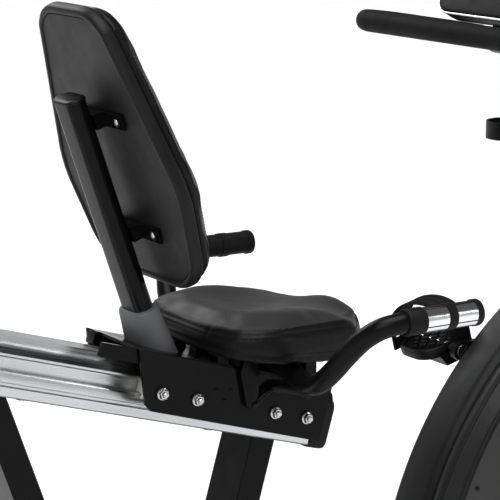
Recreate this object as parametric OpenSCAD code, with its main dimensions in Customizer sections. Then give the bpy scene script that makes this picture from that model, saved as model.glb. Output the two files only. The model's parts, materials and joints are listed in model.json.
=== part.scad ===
// Recumbent exercise bike: low step-through frame, inclined aluminium seat rail,
// sliding seat carriage with pulse grips, reclined backrest and a covered pedal drive.
// +X is forward, +Y is the rider's left, +Z is up, and the floor is at Z = 0.

/* [Base] */
// Width and height of the base beam
beam_w = 80; // [70:1:90]
beam_h = 50; // [40:1:54]
// Underside of the base beam above the floor
beam_z = 80; // [76:1:84]
// Length of each floor stabiliser across the bike
stab_len = 540; // [500:10:560]
// Stabiliser section, along the bike and upright
stab_w = 60; // [50:1:64]
// Wall of the steel tubes
steel_wall = 3; // [2:0.5:4]

/* [Seat rail] */
// Angle that the rail rises to the rear
rail_tilt = 16.3; // [15:0.1:17.5]
// Length of the rail extrusion
rail_len = 724; // [700:1:728]
// Height and width of the rail extrusion
rail_h = 82; // [80:1:84]
rail_w = 90; // [84:1:92]
// Height of the side groove's middle, its height and its depth
groove_mid = 45; // [42:1:47]
groove_h = 18; // [16:1:20]
groove_d = 16; // [12:1:18]

/* [Seat carriage] */
// Top of the carriage above the rail's underside
deck_h = 100; // [98:0.5:101]
// Outer face of each side plate from the middle
plate_y = 79; // [77:1:82]
// Thickness of each side plate
plate_t = 5; // [4:0.5:6]

/* [Seat and backrest] */
// Length and greatest width of the seat cushion
seat_len = 306; // [295:1:315]
seat_w = 314; // [300:1:330]
// Height of the cushion's top seam above its pan
seat_t = 49; // [44:1:54]
// Forward drop of the seat
seat_tilt = 4; // [2:0.5:5]
// Recline of the backrest
back_tilt = 18.9; // [15:0.1:20]
// Height, greatest width and cushion thickness of the backrest
back_h = 412; // [380:1:420]
back_w = 336; // [300:1:350]
back_t = 35; // [32:1:42]

/* [Seat handles] */
// Distance of each grip's axis from the middle
grip_y = 297.5; // [290:0.5:305]
// Height of the grip axis above the floor
grip_z = 555; // [545:1:565]
// Radius of the bent handle tube
handle_r = 15; // [14:0.5:15.5]
// Radius of the chrome pulse plates
pulse_r = 18; // [17.5:0.1:18.4]

/* [Drive] */
// Crank arm length between axes
crank_len = 170; // [165:1:175]
// Radius of the drive pulley and of the flywheel pulley
pulley_r = 105; // [90:1:108]
small_pulley_r = 25; // [22:1:30]
// Radius and thickness of the flywheel
flywheel_r = 108; // [95:1:110]
flywheel_w = 36; // [30:1:38]
// Half width of the drive cover
shroud_hw = 78; // [76:1:80]

/* [Console] */
// Lean of the display from upright
console_tilt = 30; // [25:1:35]
// Height of the console along its face
console_h = 268; // [240:1:280]
// Thickness of the console behind its bezel
console_d = 44; // [36:1:50]

/* [Hidden] */
$fn = 48;
beam_top = beam_z + beam_h;
beam_rear = -752;
beam_front = 704;
stab_z = 30;
rear_stab_x = -745;
front_stab_x = 641;
rail_x = -83;
rail_z = 317.4;
rail_k = tan(rail_tilt);
rail_head_w = 60;
rail_wall = 4;

axle_x = 470;
axle_z = 383;
axle_r = 10;
wheel_x = 640;
wheel_z = 250;
wheel_axle_r = 8;
belt_y = 50;
run_gap = 0.05;
arm_y = 86;
arm_t = 14;
pedal_y = 158;
spindle_r = 8;

seat_x = -283;
seat_z = 487.4;
pan_t = 6;
back_x = -321;
back_z = 586;
shell_t = 18;
post_w = 60;
post_d = 30;
post_off = -32;
post_top = 289;

grip_front = 30;
grip_len = 126;
lever_s = -158;
lever_h = deck_h + 7;
shaft_r = 6;

mast_top_x = 345;
mast_top_z = 945;
mast_w = 50;
mast_d = 60;
mast_lean = atan2(axle_x - mast_top_x, mast_top_z - axle_z);
bar_r = 12.5;
foam_r = 17;
console_x = 255;
console_z = 928;
bezel_t = 12;
key_r = 9;
key_gap = 0.1;

// ---- helpers ----

function arc(cx, cy, r, a0, a1, n = 12) =
    [for (i = [0 : n]) let (a = a0 + (a1 - a0) * i / n) [cx + r * cos(a), cy + r * sin(a)]];

function mirrored(points) =
    concat(points, [for (i = [len(points) - 1 : -1 : 0]) [-points[i][0], points[i][1]]]);

function stadium(w, d, n = 10) =
    let (h = (w - d) / 2) concat(arc(0, h, d / 2, 0, 180, n), arc(0, -h, d / 2, 180, 360, n));

// Smooth curve through chosen points (Catmull-Rom).
function curve_point(p, i, t) =
    let (n = len(p), a = p[max(i - 1, 0)], b = p[i], c = p[i + 1], d = p[min(i + 2, n - 1)])
    0.5 * (2 * b + (c - a) * t + (2 * a - 5 * b + 4 * c - d) * t * t
        + (3 * b - a - 3 * c + d) * t * t * t);
function curve(p, steps) = concat(
    [for (i = [0 : len(p) - 2], k = [0 : steps - 1]) curve_point(p, i, k / steps)],
    [p[len(p) - 1]]);
function unit(v) = v / norm(v);

// Rings of points round a path that is never upright, at radius r.
function rings(path, r, sides) = let (n = len(path)) [for (i = [0 : n - 1])
    let (t = unit(path[min(i + 1, n - 1)] - path[max(i - 1, 0)]),
        u = unit(cross(t, [0, 0, 1])), v = cross(u, t))
    for (k = [0 : sides - 1])
        path[i] + r * (cos(360 * k / sides) * u + sin(360 * k / sides) * v)];
// Faces between the rings of points, starting at point first.
function skin(n, sides, first, inward) = [for (i = [0 : n - 2], k = [0 : sides - 1])
    let (m = (k + 1) % sides, a = first + i * sides, b = a + sides)
    inward ? [a + m, b + m, b + k, a + k] : [a + k, b + k, b + m, a + m]];
// Solid round bar swept along a path.
module sweep(path, r, sides = 16) {
    n = len(path);
    start_f = [[for (k = [0 : sides - 1]) k]];
    end_f = [[for (k = [sides - 1 : -1 : 0]) (n - 1) * sides + k]];
    polyhedron(rings(path, r, sides), concat(skin(n, sides, 0, false), start_f, end_f));
}
// Sleeve swept along a path, open at both ends.
module sleeve(path, ro, ri, sides = 16) {
    n = len(path);
    first = n * sides;
    last = (n - 1) * sides;
    start_f = [for (k = [0 : sides - 1]) let (m = (k + 1) % sides)
        [k, m, first + m, first + k]];
    end_f = [for (k = [0 : sides - 1]) let (m = (k + 1) % sides)
        [last + m, last + k, first + last + k, first + last + m]];
    polyhedron(concat(rings(path, ro, sides), rings(path, ri, sides)),
        concat(skin(n, sides, 0, false), skin(n, sides, first, true), start_f, end_f));
}

// Plate drawn in X and Z, from y0 towards +Y.
module plate_xz(points, y0, t) {
    translate([0, y0 + t, 0]) rotate([90, 0, 0]) linear_extrude(t) polygon(points);
}
// Outline drawn in Y and Z, extruded along +X.
module slab_yz(points, t) {
    rotate([90, 0, 90]) linear_extrude(t) polygon(points);
}
module cyl_y(r, y0, y1) {
    translate([0, y0, 0]) rotate([-90, 0, 0]) cylinder(r = r, h = y1 - y0);
}
module cyl_x(r, x0, x1) {
    translate([x0, 0, 0]) rotate([0, 90, 0]) cylinder(r = r, h = x1 - x0);
}
module hex_y(af, y0, y1) {
    translate([0, y0, 0]) rotate([-90, 0, 0]) cylinder(d = af / cos(30), h = y1 - y0, $fn = 6);
}
module both_sides() {
    children();
    mirror([0, 1, 0]) children();
}
module box(x0, x1, y0, y1, z0, z1) {
    translate([x0, y0, z0]) cube([x1 - x0, y1 - y0, z1 - z0]);
}

// Frames: X runs down the rail and forward, Z is square to the rail.
module on_rail() translate([rail_x, 0, rail_z]) rotate([0, rail_tilt, 0]) children();
module on_seat() translate([seat_x, 0, seat_z]) rotate([0, seat_tilt, 0]) children();
module on_back() translate([back_x, 0, back_z]) rotate([0, -back_tilt, 0]) children();
module on_console()
    translate([console_x, 0, console_z]) rotate([0, console_tilt, 0]) children();
module on_mast() translate([axle_x, 0, axle_z]) rotate([0, -mast_lean, 0]) children();
module at_axle() translate([axle_x, 0, axle_z]) children();
module at_flywheel() translate([wheel_x, 0, wheel_z]) children();

// ---- base and legs ----

module base_beam() {
    color("#161617") difference() {
        box(beam_rear, beam_front, -beam_w / 2, beam_w / 2, beam_z, beam_top);
        box(beam_rear + steel_wall, beam_front - steel_wall, -beam_w / 2 + steel_wall,
            beam_w / 2 - steel_wall, beam_z + steel_wall, beam_top - steel_wall);
    }
}

module stabilizer_tube(x) {
    difference() {
        box(x, x + stab_w, -stab_len / 2, stab_len / 2, stab_z, beam_z);
        box(x + steel_wall, x + stab_w - steel_wall, -stab_len / 2 - 1, stab_len / 2 + 1,
            stab_z + steel_wall, beam_z - steel_wall);
    }
}
leveler_y = 225;
module rear_stabilizer() {
    color("#161617") difference() {
        union() {
            stabilizer_tube(rear_stab_x);
            both_sides() translate([rear_stab_x + stab_w / 2, leveler_y, stab_z])
                cylinder(r = 10, h = 20);
        }
        both_sides() translate([rear_stab_x + stab_w / 2, leveler_y, stab_z - 1])
            cylinder(r = 5 + run_gap, h = 30);
    }
}
wheel_pin_x = 734;
wheel_pin_z = 38;
wheel_pin_y = 180;
module front_stabilizer() {
    color("#161617") {
        stabilizer_tube(front_stab_x);
        both_sides() for (side = [-1, 1])
            plate_xz([[front_stab_x + stab_w, 32], [front_stab_x + stab_w, 76],
                [wheel_pin_x + 10, 50], [wheel_pin_x + 10, 30]],
                wheel_pin_y + side * 17.5 - 2, 4);
        both_sides() translate([wheel_pin_x, wheel_pin_y, wheel_pin_z]) cyl_y(5, -20, 20);
    }
}
module end_cap(x, foot) {
    translate([x, stab_len / 2, 0]) {
        box(-3, stab_w + 3, 0, 14, stab_z - 4, beam_z + 4);
        if (foot) box(6, stab_w - 6, -22, 12, 0, stab_z - 4);
        if (foot) box(6, stab_w - 6, -22, 0, stab_z - 4, stab_z);
    }
}
module stabilizer_caps() {
    color("#1c1c1d") both_sides() {
        end_cap(rear_stab_x, false);
        end_cap(front_stab_x, true);
    }
}
module leveler() {
    translate([rear_stab_x + stab_w / 2, leveler_y, 0]) {
        cylinder(r = 24, h = 10);
        translate([0, 0, 10]) cylinder(r1 = 18, r2 = 12, h = 8, $fn = 48);
        translate([0, 0, 18]) cylinder(r = 5, h = 40);
    }
}
module leveler_left() color("#202021") leveler();
module leveler_right() color("#202021") mirror([0, 1, 0]) leveler();
module transport_wheel() {
    translate([wheel_pin_x, wheel_pin_y, wheel_pin_z]) difference() {
        union() {
            cyl_y(30, -12, 12);
            cyl_y(12, -14, 14);
        }
        cyl_y(5 + run_gap, -15, 15);
    }
}
module transport_wheel_left() color("#2a2a2b") transport_wheel();
module transport_wheel_right() color("#2a2a2b") mirror([0, 1, 0]) transport_wheel();

// Height at which a line x = xb + m (z - beam_top) meets the rail's underside.
function leg_top(xb, m) = (rail_z + (rail_x - xb + m * beam_top) * rail_k) / (1 + m * rail_k);
function leg_point(xb, m) = [xb + m * (leg_top(xb, m) - beam_top), leg_top(xb, m)];
function leg_outline(xb, m, w) =
    [[xb - w, beam_top], [xb + w, beam_top], leg_point(xb + w, m), leg_point(xb - w, m)];
module leg(xb, m, w) {
    difference() {
        plate_xz(leg_outline(xb, m, w), -40, 80);
        plate_xz(leg_outline(xb, m, w - steel_wall), -40 + steel_wall, 80 - 2 * steel_wall);
    }
}
module rear_leg() color("#141415") leg(-473, -0.356, 22);
module middle_leg() color("#141415") leg(-218, 0.29, 21);

// ---- rail ----

half_w = rail_w / 2;
head = rail_head_w / 2;
groove_lo = groove_mid - groove_h / 2;
groove_hi = groove_mid + groove_h / 2;
// Half section of the rail in Y and Z: two lips, the side groove and the narrower head.
rail_side = concat(
    [[half_w - 2, 0], [half_w, 2], [half_w, 14], [half_w - 2, 16], [half_w - 2, 19],
        [half_w, 21], [half_w, groove_lo - 5], [half_w - 3, groove_lo],
        [half_w - groove_d, groove_lo], [half_w - groove_d, groove_hi],
        [half_w - 3, groove_hi], [half_w, groove_hi + 2], [half_w, groove_hi + 5]],
    arc(half_w + 7.5, rail_h - 2, 22, 250, 190, 5),
    [[head, rail_h]]);
module rail_hollow() {
    difference() {
        slab_yz(mirrored(rail_side), rail_len);
        translate([-1, 0, 0]) slab_yz(mirrored([[half_w - rail_wall, rail_wall],
            [half_w - rail_wall, groove_lo - rail_wall]]), rail_len + 2);
        translate([-1, 0, 0]) slab_yz(mirrored([[half_w - groove_d - rail_wall, groove_lo],
            [half_w - groove_d - rail_wall, rail_h - rail_wall]]), rail_len + 2);
    }
}
rail_screw_s = [-rail_len + 262, -rail_len + 120, -150, -42];
module seat_rail() {
    color("#c9cbcd") on_rail() difference() {
        translate([-rail_len, 0, 0]) rail_hollow();
        for (s = rail_screw_s) translate([s, 0, -1]) cylinder(r = 4.1, h = rail_wall + 2);
    }
}
cap_side = [[half_w + 2, -3], [half_w + 3, 10], [half_w + 3, 62], [head + 8, rail_h + 3]];
module rail_end_caps() {
    color("#171718") on_rail() {
        slab_yz(mirrored(cap_side), 15);
        translate([15, 0, 0]) slab_yz(mirrored([[half_w - 3, 1], [half_w - 2, 58],
            [head + 2, rail_h - 3]]), 8);
        translate([-rail_len - 10, 0, 0]) slab_yz(mirrored(cap_side), 10);
    }
}

// Cover outline: a broad rear arc, a rounded nose that leaves it at nose_turn, and a front arc.
shroud_z = 84;
rear_cx = 760;
rear_cz = -45;
rear_r = 634;
nose_r = 193.4;
nose_turn = 112;
nose_x = rear_cx + (rear_r - nose_r) * cos(nose_turn);
nose_z = rear_cz + (rear_r - nose_r) * sin(nose_turn);
front_r = 700;
front_cx = nose_x + nose_r - front_r;
function arc_angle(cz, r) = asin((shroud_z - cz) / r);
// The outline in X and Z, drawn in by d from its rim.
function shroud_outline(d) = concat(
    arc(rear_cx, rear_cz, rear_r - d, 180 - arc_angle(rear_cz, rear_r - d), nose_turn, 26),
    arc(nose_x, nose_z, nose_r - d, nose_turn - 6, 0, 18),
    arc(front_cx, nose_z, front_r - d, -1, arc_angle(nose_z, front_r - d), 12));
function on_arc(cx, cz, r, a) = [cx + r * cos(a), cz + r * sin(a)];
screw_in = 22;
panel_screws = [on_arc(rear_cx, rear_cz, rear_r - screw_in, 155),
    on_arc(rear_cx, rear_cz, rear_r - screw_in, 128),
    on_arc(nose_x, nose_z, nose_r - screw_in, 60),
    on_arc(front_cx, nose_z, front_r - screw_in, -14)];
module frame_screws() {
    color("#9a9b9d") {
        on_rail() for (s = rail_screw_s) translate([s, 0, 0]) {
            translate([0, 0, -1.5]) cylinder(r = 9, h = 1.5);
            translate([0, 0, -7]) cylinder(d = 15, h = 5.5, $fn = 6);
            cylinder(r = 4, h = rail_wall);
            translate([0, 0, rail_wall]) cylinder(d = 15, h = 6, $fn = 6);
        }
        both_sides() for (p = panel_screws) translate([p[0], shroud_hw + panel_t, p[1]])
            cyl_y(3.5, 0, 1.6);
    }
}

// ---- front frame and drive ----

module front_frame() {
    color("#161617") difference() {
        union() {
            difference() {
                box(axle_x - 25, axle_x + 25, -25, 25, beam_top, axle_z);
                box(axle_x - 22, axle_x + 22, -22, 22, beam_top + 3, axle_z);
            }
            at_axle() cyl_y(33, -36, 36);
            both_sides() plate_xz([[axle_x - 20, 190], [axle_x - 20, 320], [wheel_x + 12, 278],
                [wheel_x + 26, 262], [wheel_x + 26, 238], [wheel_x + 12, 222]], 25, 7);
        }
        at_axle() cyl_y(26, -40, 40);
        at_flywheel() cyl_y(16, -40, 40);
    }
}
module ring_y(ro, ri, y0, y1) {
    difference() {
        cyl_y(ro, y0, y1);
        cyl_y(ri, y0 - 1, y1 + 1);
    }
}
module bearings() {
    color("#8f9193") both_sides() {
        at_axle() ring_y(26, axle_r + run_gap, 22, 36);
        at_flywheel() ring_y(16, wheel_axle_r + run_gap, 25, 32);
    }
}
module flywheel() {
    color("#4a4b4d") at_flywheel() difference() {
        union() {
            ring_y(flywheel_r, flywheel_r - 24, -flywheel_w / 2, flywheel_w / 2);
            cyl_y(flywheel_r - 23, -flywheel_w / 2 + 9, flywheel_w / 2 - 9);
            cyl_y(22, -flywheel_w / 2, flywheel_w / 2);
        }
        cyl_y(wheel_axle_r, -30, 30);
    }
}
module flywheel_axle() {
    color("#8f9193") at_flywheel() {
        cyl_y(wheel_axle_r, -36, belt_y + 12);
        difference() {
            cyl_y(small_pulley_r, belt_y - 8, belt_y + 8);
            cyl_y(wheel_axle_r - 0.5, belt_y - 9, belt_y + 9);
        }
    }
}
module drive_pulley() {
    color("#3a3b3d") at_axle() difference() {
        union() {
            ring_y(pulley_r, pulley_r - 14, belt_y - 8, belt_y + 8);
            cyl_y(pulley_r - 13, belt_y - 3, belt_y + 3);
            cyl_y(24, belt_y - 10, belt_y + 10);
        }
        cyl_y(axle_r, belt_y - 11, belt_y + 11);
        for (a = [0 : 60 : 300]) rotate([0, a, 0]) translate([82, 0, 0])
            cyl_y(24, belt_y - 9, belt_y + 9);
    }
}
// Outline of a belt run round both pulleys, lifted off them by a small gap.
belt_gap = 0.4;
belt_dx = wheel_x - axle_x;
belt_dz = wheel_z - axle_z;
belt_dir = atan2(belt_dz, belt_dx);
belt_wrap = acos((pulley_r - small_pulley_r) / norm([belt_dx, belt_dz]));
function belt_outline(g) = concat(
    arc(axle_x, axle_z, pulley_r + g, belt_dir + belt_wrap, belt_dir + 360 - belt_wrap, 60),
    arc(wheel_x, wheel_z, small_pulley_r + g, belt_dir - belt_wrap, belt_dir + belt_wrap, 24));
module drive_belt() {
    color("#1b1b1c") difference() {
        plate_xz(belt_outline(belt_gap + 3), belt_y - 6, 12);
        plate_xz(belt_outline(belt_gap), belt_y - 7, 14);
    }
}
module brake_magnet() {
    color("#6b4a2c") difference() {
        box(684, 738, -34, 34, beam_top, 196);
        at_flywheel() cyl_y(flywheel_r + 5, -flywheel_w / 2 - 3, flywheel_w / 2 + 3);
    }
}
module crank_axle() {
    color("#8f9193") at_axle() cyl_y(axle_r, -arm_y - arm_t, arm_y + arm_t);
}
// Arm from the crank axis to its pedal, which lies towards dir along X.
module crank_arm(dir) {
    at_axle() difference() {
        union() {
            cyl_y(21, arm_y, arm_y + arm_t);
            translate([dir * crank_len, 0, 0]) cyl_y(16, arm_y, arm_y + arm_t);
            plate_xz([[0, -17], [dir * crank_len, -13], [dir * crank_len, 13], [0, 17]],
                arm_y, arm_t);
        }
        cyl_y(axle_r, arm_y - 1, arm_y + arm_t + 1);
    }
}
module crank_arms() {
    color("#2a2b2c") {
        crank_arm(-1);
        mirror([0, 1, 0]) crank_arm(1);
    }
}
module pedal_spindle(dir) {
    at_axle() translate([dir * crank_len, 0, 0]) {
        hex_y(20, arm_y + arm_t, arm_y + arm_t + 7);
        cyl_y(spindle_r, arm_y + arm_t + 7, pedal_y + 44);
        cyl_y(11, arm_y - 3, arm_y);
    }
}
module pedal_spindles() {
    color("#b8babc") {
        pedal_spindle(-1);
        mirror([0, 1, 0]) pedal_spindle(1);
    }
}
pedal_half = 46;
tread_side = [[-56, 2], [-50, -8], [-20, -14], [-12, -30], [30, -30], [46, -12], [56, -8],
    [56, 8], [50, 12], [-50, 12], [-56, 10]];
// The pedals hang with their rear edge down.
pedal_tilt = -15;
module pedal_at(dir) {
    translate([axle_x + dir * crank_len, pedal_y, axle_z]) rotate([0, pedal_tilt, 0]) children();
}
module pedal(dir) {
    pedal_at(dir) difference() {
        plate_xz(tread_side, -pedal_half, 2 * pedal_half);
        cyl_y(spindle_r + run_gap, -pedal_half - 1, pedal_half - 2);
    }
}
module pedal_left() color("#222223") pedal(-1);
module pedal_right() color("#222223") mirror([0, 1, 0]) pedal(1);
strap_side = pedal_half + 0.2;
strap_x = -26;
strap_w = 40;
function strap_arch(r, h) = concat([[r, -6], [r, 12]], arc(0, 0, 1, 14, 166, 18)
    * [[r, 0], [0, h]], [[-r, 12], [-r, -6]]);
// The strap runs askew, from the rear on the outer side to the front beside the crank.
strap_skew = -0.5;
module pedal_strap(dir) {
    pedal_at(dir) multmatrix([[1, strap_skew, 0, 0], [0, 1, 0, 0], [0, 0, 1, 0], [0, 0, 0, 1]])
        difference() {
            translate([strap_x, 0, 0]) slab_yz(strap_arch(strap_side + 3, 80), strap_w);
            translate([strap_x - 1, 0, 0]) slab_yz(strap_arch(strap_side, 76.5), strap_w + 2);
            translate([0, 0, -8]) cube([90, 2 * strap_side, 4.2], center = true);
            for (z = [18, 30])
                translate([strap_x + strap_w / 2, strap_side, z]) cube([14, 20, 5], center = true);
            translate([-24, 0, 0]) cyl_y(spindle_r + 2, -strap_side - 4, -strap_side + 1);
        }
}
module pedal_strap_left() color("#1a1a1b") pedal_strap(-1);
module pedal_strap_right() color("#1a1a1b") mirror([0, 1, 0]) pedal_strap(1);

// ---- drive cover ----

edge_r = 6;
cover_wall = 3;
module shroud_solid(d, y_in) {
    hull() {
        plate_xz(shroud_outline(d), y_in, shroud_hw - edge_r - y_in);
        plate_xz(shroud_outline(d + edge_r / 3), shroud_hw - edge_r, edge_r * 0.6);
        plate_xz(shroud_outline(d + edge_r), shroud_hw - edge_r, edge_r - d);
    }
}
module mast_bar(w, d, z0, z1) {
    on_mast() translate([0, 0, z0]) linear_extrude(z1 - z0) polygon(stadium(w, d) * [[0, 1], [1, 0]]);
}
collar_z = 100;
collar_gap = 11;
// The halves part at seam_y, a little to the right of the middle.
seam_y = -4;
module shroud_half(seam) {
    difference() {
        shroud_solid(0, seam);
        shroud_solid(cover_wall, seam - 1);
        box(0, 600, -beam_w / 2 - 1, beam_w / 2 + 1, shroud_z - 1, beam_top + 1);
        mast_bar(mast_d + 2 * collar_gap, mast_w + 2 * collar_gap, 60, 300);
        at_axle() cyl_y(24, 60, shroud_hw + 1);
    }
}
// The inlet sits wholly in the left half, clear of the seam.
inlet_y = 20;
inlet_z = 150;
module shroud_left() color("#2d2e30") difference() {
    shroud_half(seam_y);
    translate([700, inlet_y, inlet_z]) cyl_x(9, 0, 80);
}
module shroud_right() color("#2d2e30") mirror([0, 1, 0]) shroud_half(-seam_y);
panel_t = 3;
module side_panels() {
    color("#47484a") both_sides() difference() {
        plate_xz(shroud_outline(edge_r + 2), shroud_hw, panel_t);
        at_axle() cyl_y(24, shroud_hw - 1, shroud_hw + panel_t + 1);
    }
}
module power_inlet() {
    color("#101011") translate([0, inlet_y, inlet_z]) difference() {
        union() {
            cyl_x(12, 740, 747);
            cyl_x(8.8, 742, 759);
        }
        cyl_x(3.2, 748, 760);
    }
}

// ---- mast, handlebar and console ----

boss_x = 318;
boss_z = 890;
boss_half = 36;
module mast() {
    color("#161617") difference() {
        union() {
            difference() {
                mast_bar(mast_d, mast_w, 20, 620);
                mast_bar(mast_d - 6, mast_w - 6, 60, 560);
            }
            translate([boss_x, 0, boss_z]) cyl_y(24, -boss_half, boss_half);
        }
        at_axle() cyl_y(33, -60, 60);
        on_console() translate([-150, -150, -200]) cube([150 + bezel_t + console_d, 300, 500]);
    }
}
module mast_collar() {
    color("#2d2e30") difference() {
        mast_bar(mast_d + 2 * collar_gap - 1, mast_w + 2 * collar_gap - 1, collar_z, collar_z + 50);
        mast_bar(mast_d + 0.4, mast_w + 0.4, collar_z - 1, collar_z + 51);
    }
}
cup_x = 319;
cup_r = 38;
cup_z = 660;
ring_z = 738;
ring_h = 27;
module bottle_holder() {
    color("#19191a") difference() {
        union() {
            translate([cup_x, 0, ring_z]) cylinder(r = cup_r, h = ring_h);
            translate([cup_x + 18, 0, cup_z]) cylinder(r = cup_r - 12, h = 4);
            plate_xz([[cup_x + 30, cup_z], [cup_x + 30, ring_z + ring_h],
                [cup_x + 50, ring_z + ring_h], [cup_x + 76, cup_z]], -14, 28);
        }
        mast_bar(mast_d, mast_w, 100, 600);
        translate([cup_x, 0, cup_z + 4]) cylinder(r = cup_r - 3, h = 130);
    }
}
// Half of the hand loop, from the mast out and back to the crossbar.
loop_side = [[boss_x, boss_half + 0.3, boss_z], [boss_x, 41, boss_z], [boss_x, 48, boss_z],
    [boss_x - 9, 66, boss_z + 1], [294, 98, 894], [259, 144, 900], [224, 183, 906], [199, 201, 909],
    [183, 195, 911], [174, 174, 912], [172, 142, 912]];
function flip_y(p) = [p[0], -p[1], p[2]];
loop_path = curve(concat(loop_side,
    [for (i = [len(loop_side) - 1 : -1 : 0]) flip_y(loop_side[i])]), 3);
module front_handlebar() color("#161617") sweep(loop_path, bar_r);
foam_path = [for (i = [9 : len(loop_path) - 10]) loop_path[i]];
module handlebar_foam() {
    color("#1f1f20") sleeve(foam_path, foam_r, bar_r + 0.2);
}
// Console outline in Y and Z along its face, drawn in by d.
function console_outline(d) = mirrored(concat(
    arc(88, 34, 34 - d, -90, -12, 8), arc(128, console_h - 40, 40 - d, -12, 90, 10)));
console_half = 170;
key_spots = [[-54, 62], [54, 62], [-20, 52], [20, 52]];
// Solid from the bezel's rear, drawn in by d, its lower rear edge sloped clear of the hand loop.
module console_body(d, x, depth) {
    difference() {
        translate([x, 0, 0]) slab_yz(console_outline(d), depth);
        plate_xz([[bezel_t + 13, d - 1], [bezel_t + console_d + 1, d + 16], [bezel_t + console_d + 1, d - 1]],
            -console_half, 2 * console_half);
    }
}
module console_back() {
    color("#2a2b2d") on_console() difference() {
        console_body(0, bezel_t, console_d);
        console_body(4, bezel_t - 1, console_d - 3);
    }
}
module console_bezel() {
    color("#3b3c3e") on_console() difference() {
        slab_yz(console_outline(0), bezel_t);
        translate([-1, 0, 0]) slab_yz([[-92, 92], [92, 92], [112, 236], [-112, 236]], bezel_t + 2);
        for (k = key_spots) translate([0, k[0], k[1]]) cyl_x(key_r + key_gap, -1, bezel_t + 1);
    }
}
module console_screen() {
    color("#0b0c0f") on_console()
        translate([4, 0, 0]) slab_yz([[-91, 92.5], [91, 92.5], [111, 235.5], [-111, 235.5]], 5);
}
module key_button(i) {
    on_console() translate([0, key_spots[i][0], key_spots[i][1]]) cyl_x(key_r, -3, 8);
}
module key_start() color("#3f7a4b") key_button(0);
module key_stop() color("#a03a32") key_button(1);
module key_up() color("#77797c") key_button(2);
module key_down() color("#77797c") key_button(3);

// ---- seat carriage ----

bolt_s = [-290, -231, -96, -40];
glide_s = [-260.5, -68];
glide_len = 84;
plate_outline = [[-8, 14], [-302, 18], [-312, 26], [-343, deck_h], [-8, deck_h - 5]];
module carriage_plates() {
    color("#0f0f10") on_rail() both_sides() difference() {
        plate_xz(plate_outline, plate_y - plate_t, plate_t);
        for (s = bolt_s) translate([s, 0, groove_mid]) cyl_y(4.1, plate_y - 20, plate_y + 1);
    }
}
bar_in = 49;
bar_h = 20;
bar_rear = -340;
tail_rear = -398;
// Height of the carriage deck and of the seat pan above a place along X.
function deck_at(x) = rail_z + (rail_x - x) * rail_k + deck_h / cos(rail_tilt);
function pan_at(x) = seat_z - (x - seat_x) * tan(seat_tilt);
module riser(x0, x1) {
    both_sides() plate_xz([[x0, deck_at(x0)], [x1, deck_at(x1)], [x1, pan_at(x1)],
        [x0, pan_at(x0)]], bar_in, 22);
}
// Side bar of the carriage with the bore for the lever shaft, on the +Y side.
module side_bar() {
    difference() {
        union() {
            box(bar_rear, -20, bar_in, plate_y - plate_t, deck_h - bar_h, deck_h);
            box(lever_s - 11, lever_s + 11, bar_in, bar_in + 20, deck_h, lever_h + 9);
        }
        box(bar_rear - 1, -19, bar_in + 3, plate_y - plate_t - 3, deck_h - bar_h + 3, deck_h - 3);
        translate([lever_s, 0, lever_h]) cyl_y(shaft_r + run_gap, bar_in - 1, bar_in + 21);
    }
}
module carriage_frame() {
    color("#121213") {
        on_rail() {
            both_sides() side_bar();
            box(tail_rear, bar_rear, -plate_y + plate_t, -plate_y + plate_t + 9,
                deck_h - bar_h, deck_h);
            difference() {
                box(-335, -30, -bar_in, bar_in, deck_h - 4, deck_h);
                box(lever_s - 21, lever_s + 21, -21, 21, deck_h - 5, deck_h + 1);
            }
        }
        riser(-253, -235);
        riser(-104, -86);
    }
}
module glide_blocks() {
    color("#d8d8d2") on_rail() both_sides() for (s = glide_s) difference() {
        translate([s - glide_len / 2, 0, 0]) {
            box(0, glide_len, half_w - groove_d + 0.5, half_w + 1, groove_lo + 0.3, groove_hi - 0.3);
            box(0, glide_len, half_w + 0.5, plate_y - plate_t, groove_lo - 6, groove_hi + 6);
        }
        for (b = bolt_s) translate([b, 0, groove_mid]) cyl_y(4.1, 20, plate_y);
    }
}
bracket_z = [83, 253];
bracket_y = 62;
bracket_h = 22;
module seat_bolts() {
    color("#b4b6b8") {
        on_rail() both_sides() for (s = bolt_s) translate([s, 0, groove_mid]) {
            cyl_y(4, half_w - groove_d + 2, plate_y + 12);
            ring_y(11, 4.1, plate_y, plate_y + 1.6);
            difference() {
                hex_y(13, plate_y + 1.6, plate_y + 8.5);
                cyl_y(4, plate_y, plate_y + 14);
            }
        }
        on_back() both_sides() for (z = bracket_z) translate([-3, bracket_y, z])
            translate([-3.5, 0, 0]) cyl_x(6.5, -3, 3.2);
    }
}
lever_y = plate_y + 4;
module lever_rod(a, b, r) {
    d = b - a;
    translate(a) rotate([0, acos(d[2] / norm(d)), atan2(d[1], d[0])]) cylinder(r = r, h = norm(d));
}
module seat_lever() {
    elbow_low = [-141, -lever_y - 2, 54];
    elbow_high = [-116, -lever_y - 8, 82];
    knob = [-70, -lever_y - 24, 84];
    color("#0f0f10") on_rail() {
        translate([lever_s, 0, lever_h]) cyl_y(shaft_r, -lever_y, bar_in + 20);
        plate_xz([[-174, lever_h + 8], [-150, lever_h + 8], [-132, 50], [-140, 44], [-152, 48],
            [-176, lever_h - 6]], -lever_y - 4, 4);
        lever_rod(elbow_low, elbow_high, 4.5);
        translate(elbow_low) sphere(r = 4.5, $fn = 32);
        translate(elbow_high) sphere(r = 7, $fn = 32);
        lever_rod(elbow_high, knob, 7);
        translate(knob) sphere(r = 10, $fn = 32);
    }
}
module lock_pad() {
    color("#3a3a3b") on_rail()
        box(lever_s - 19, lever_s + 19, -19, 19, rail_h + 0.2, deck_h - 4);
}

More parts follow.
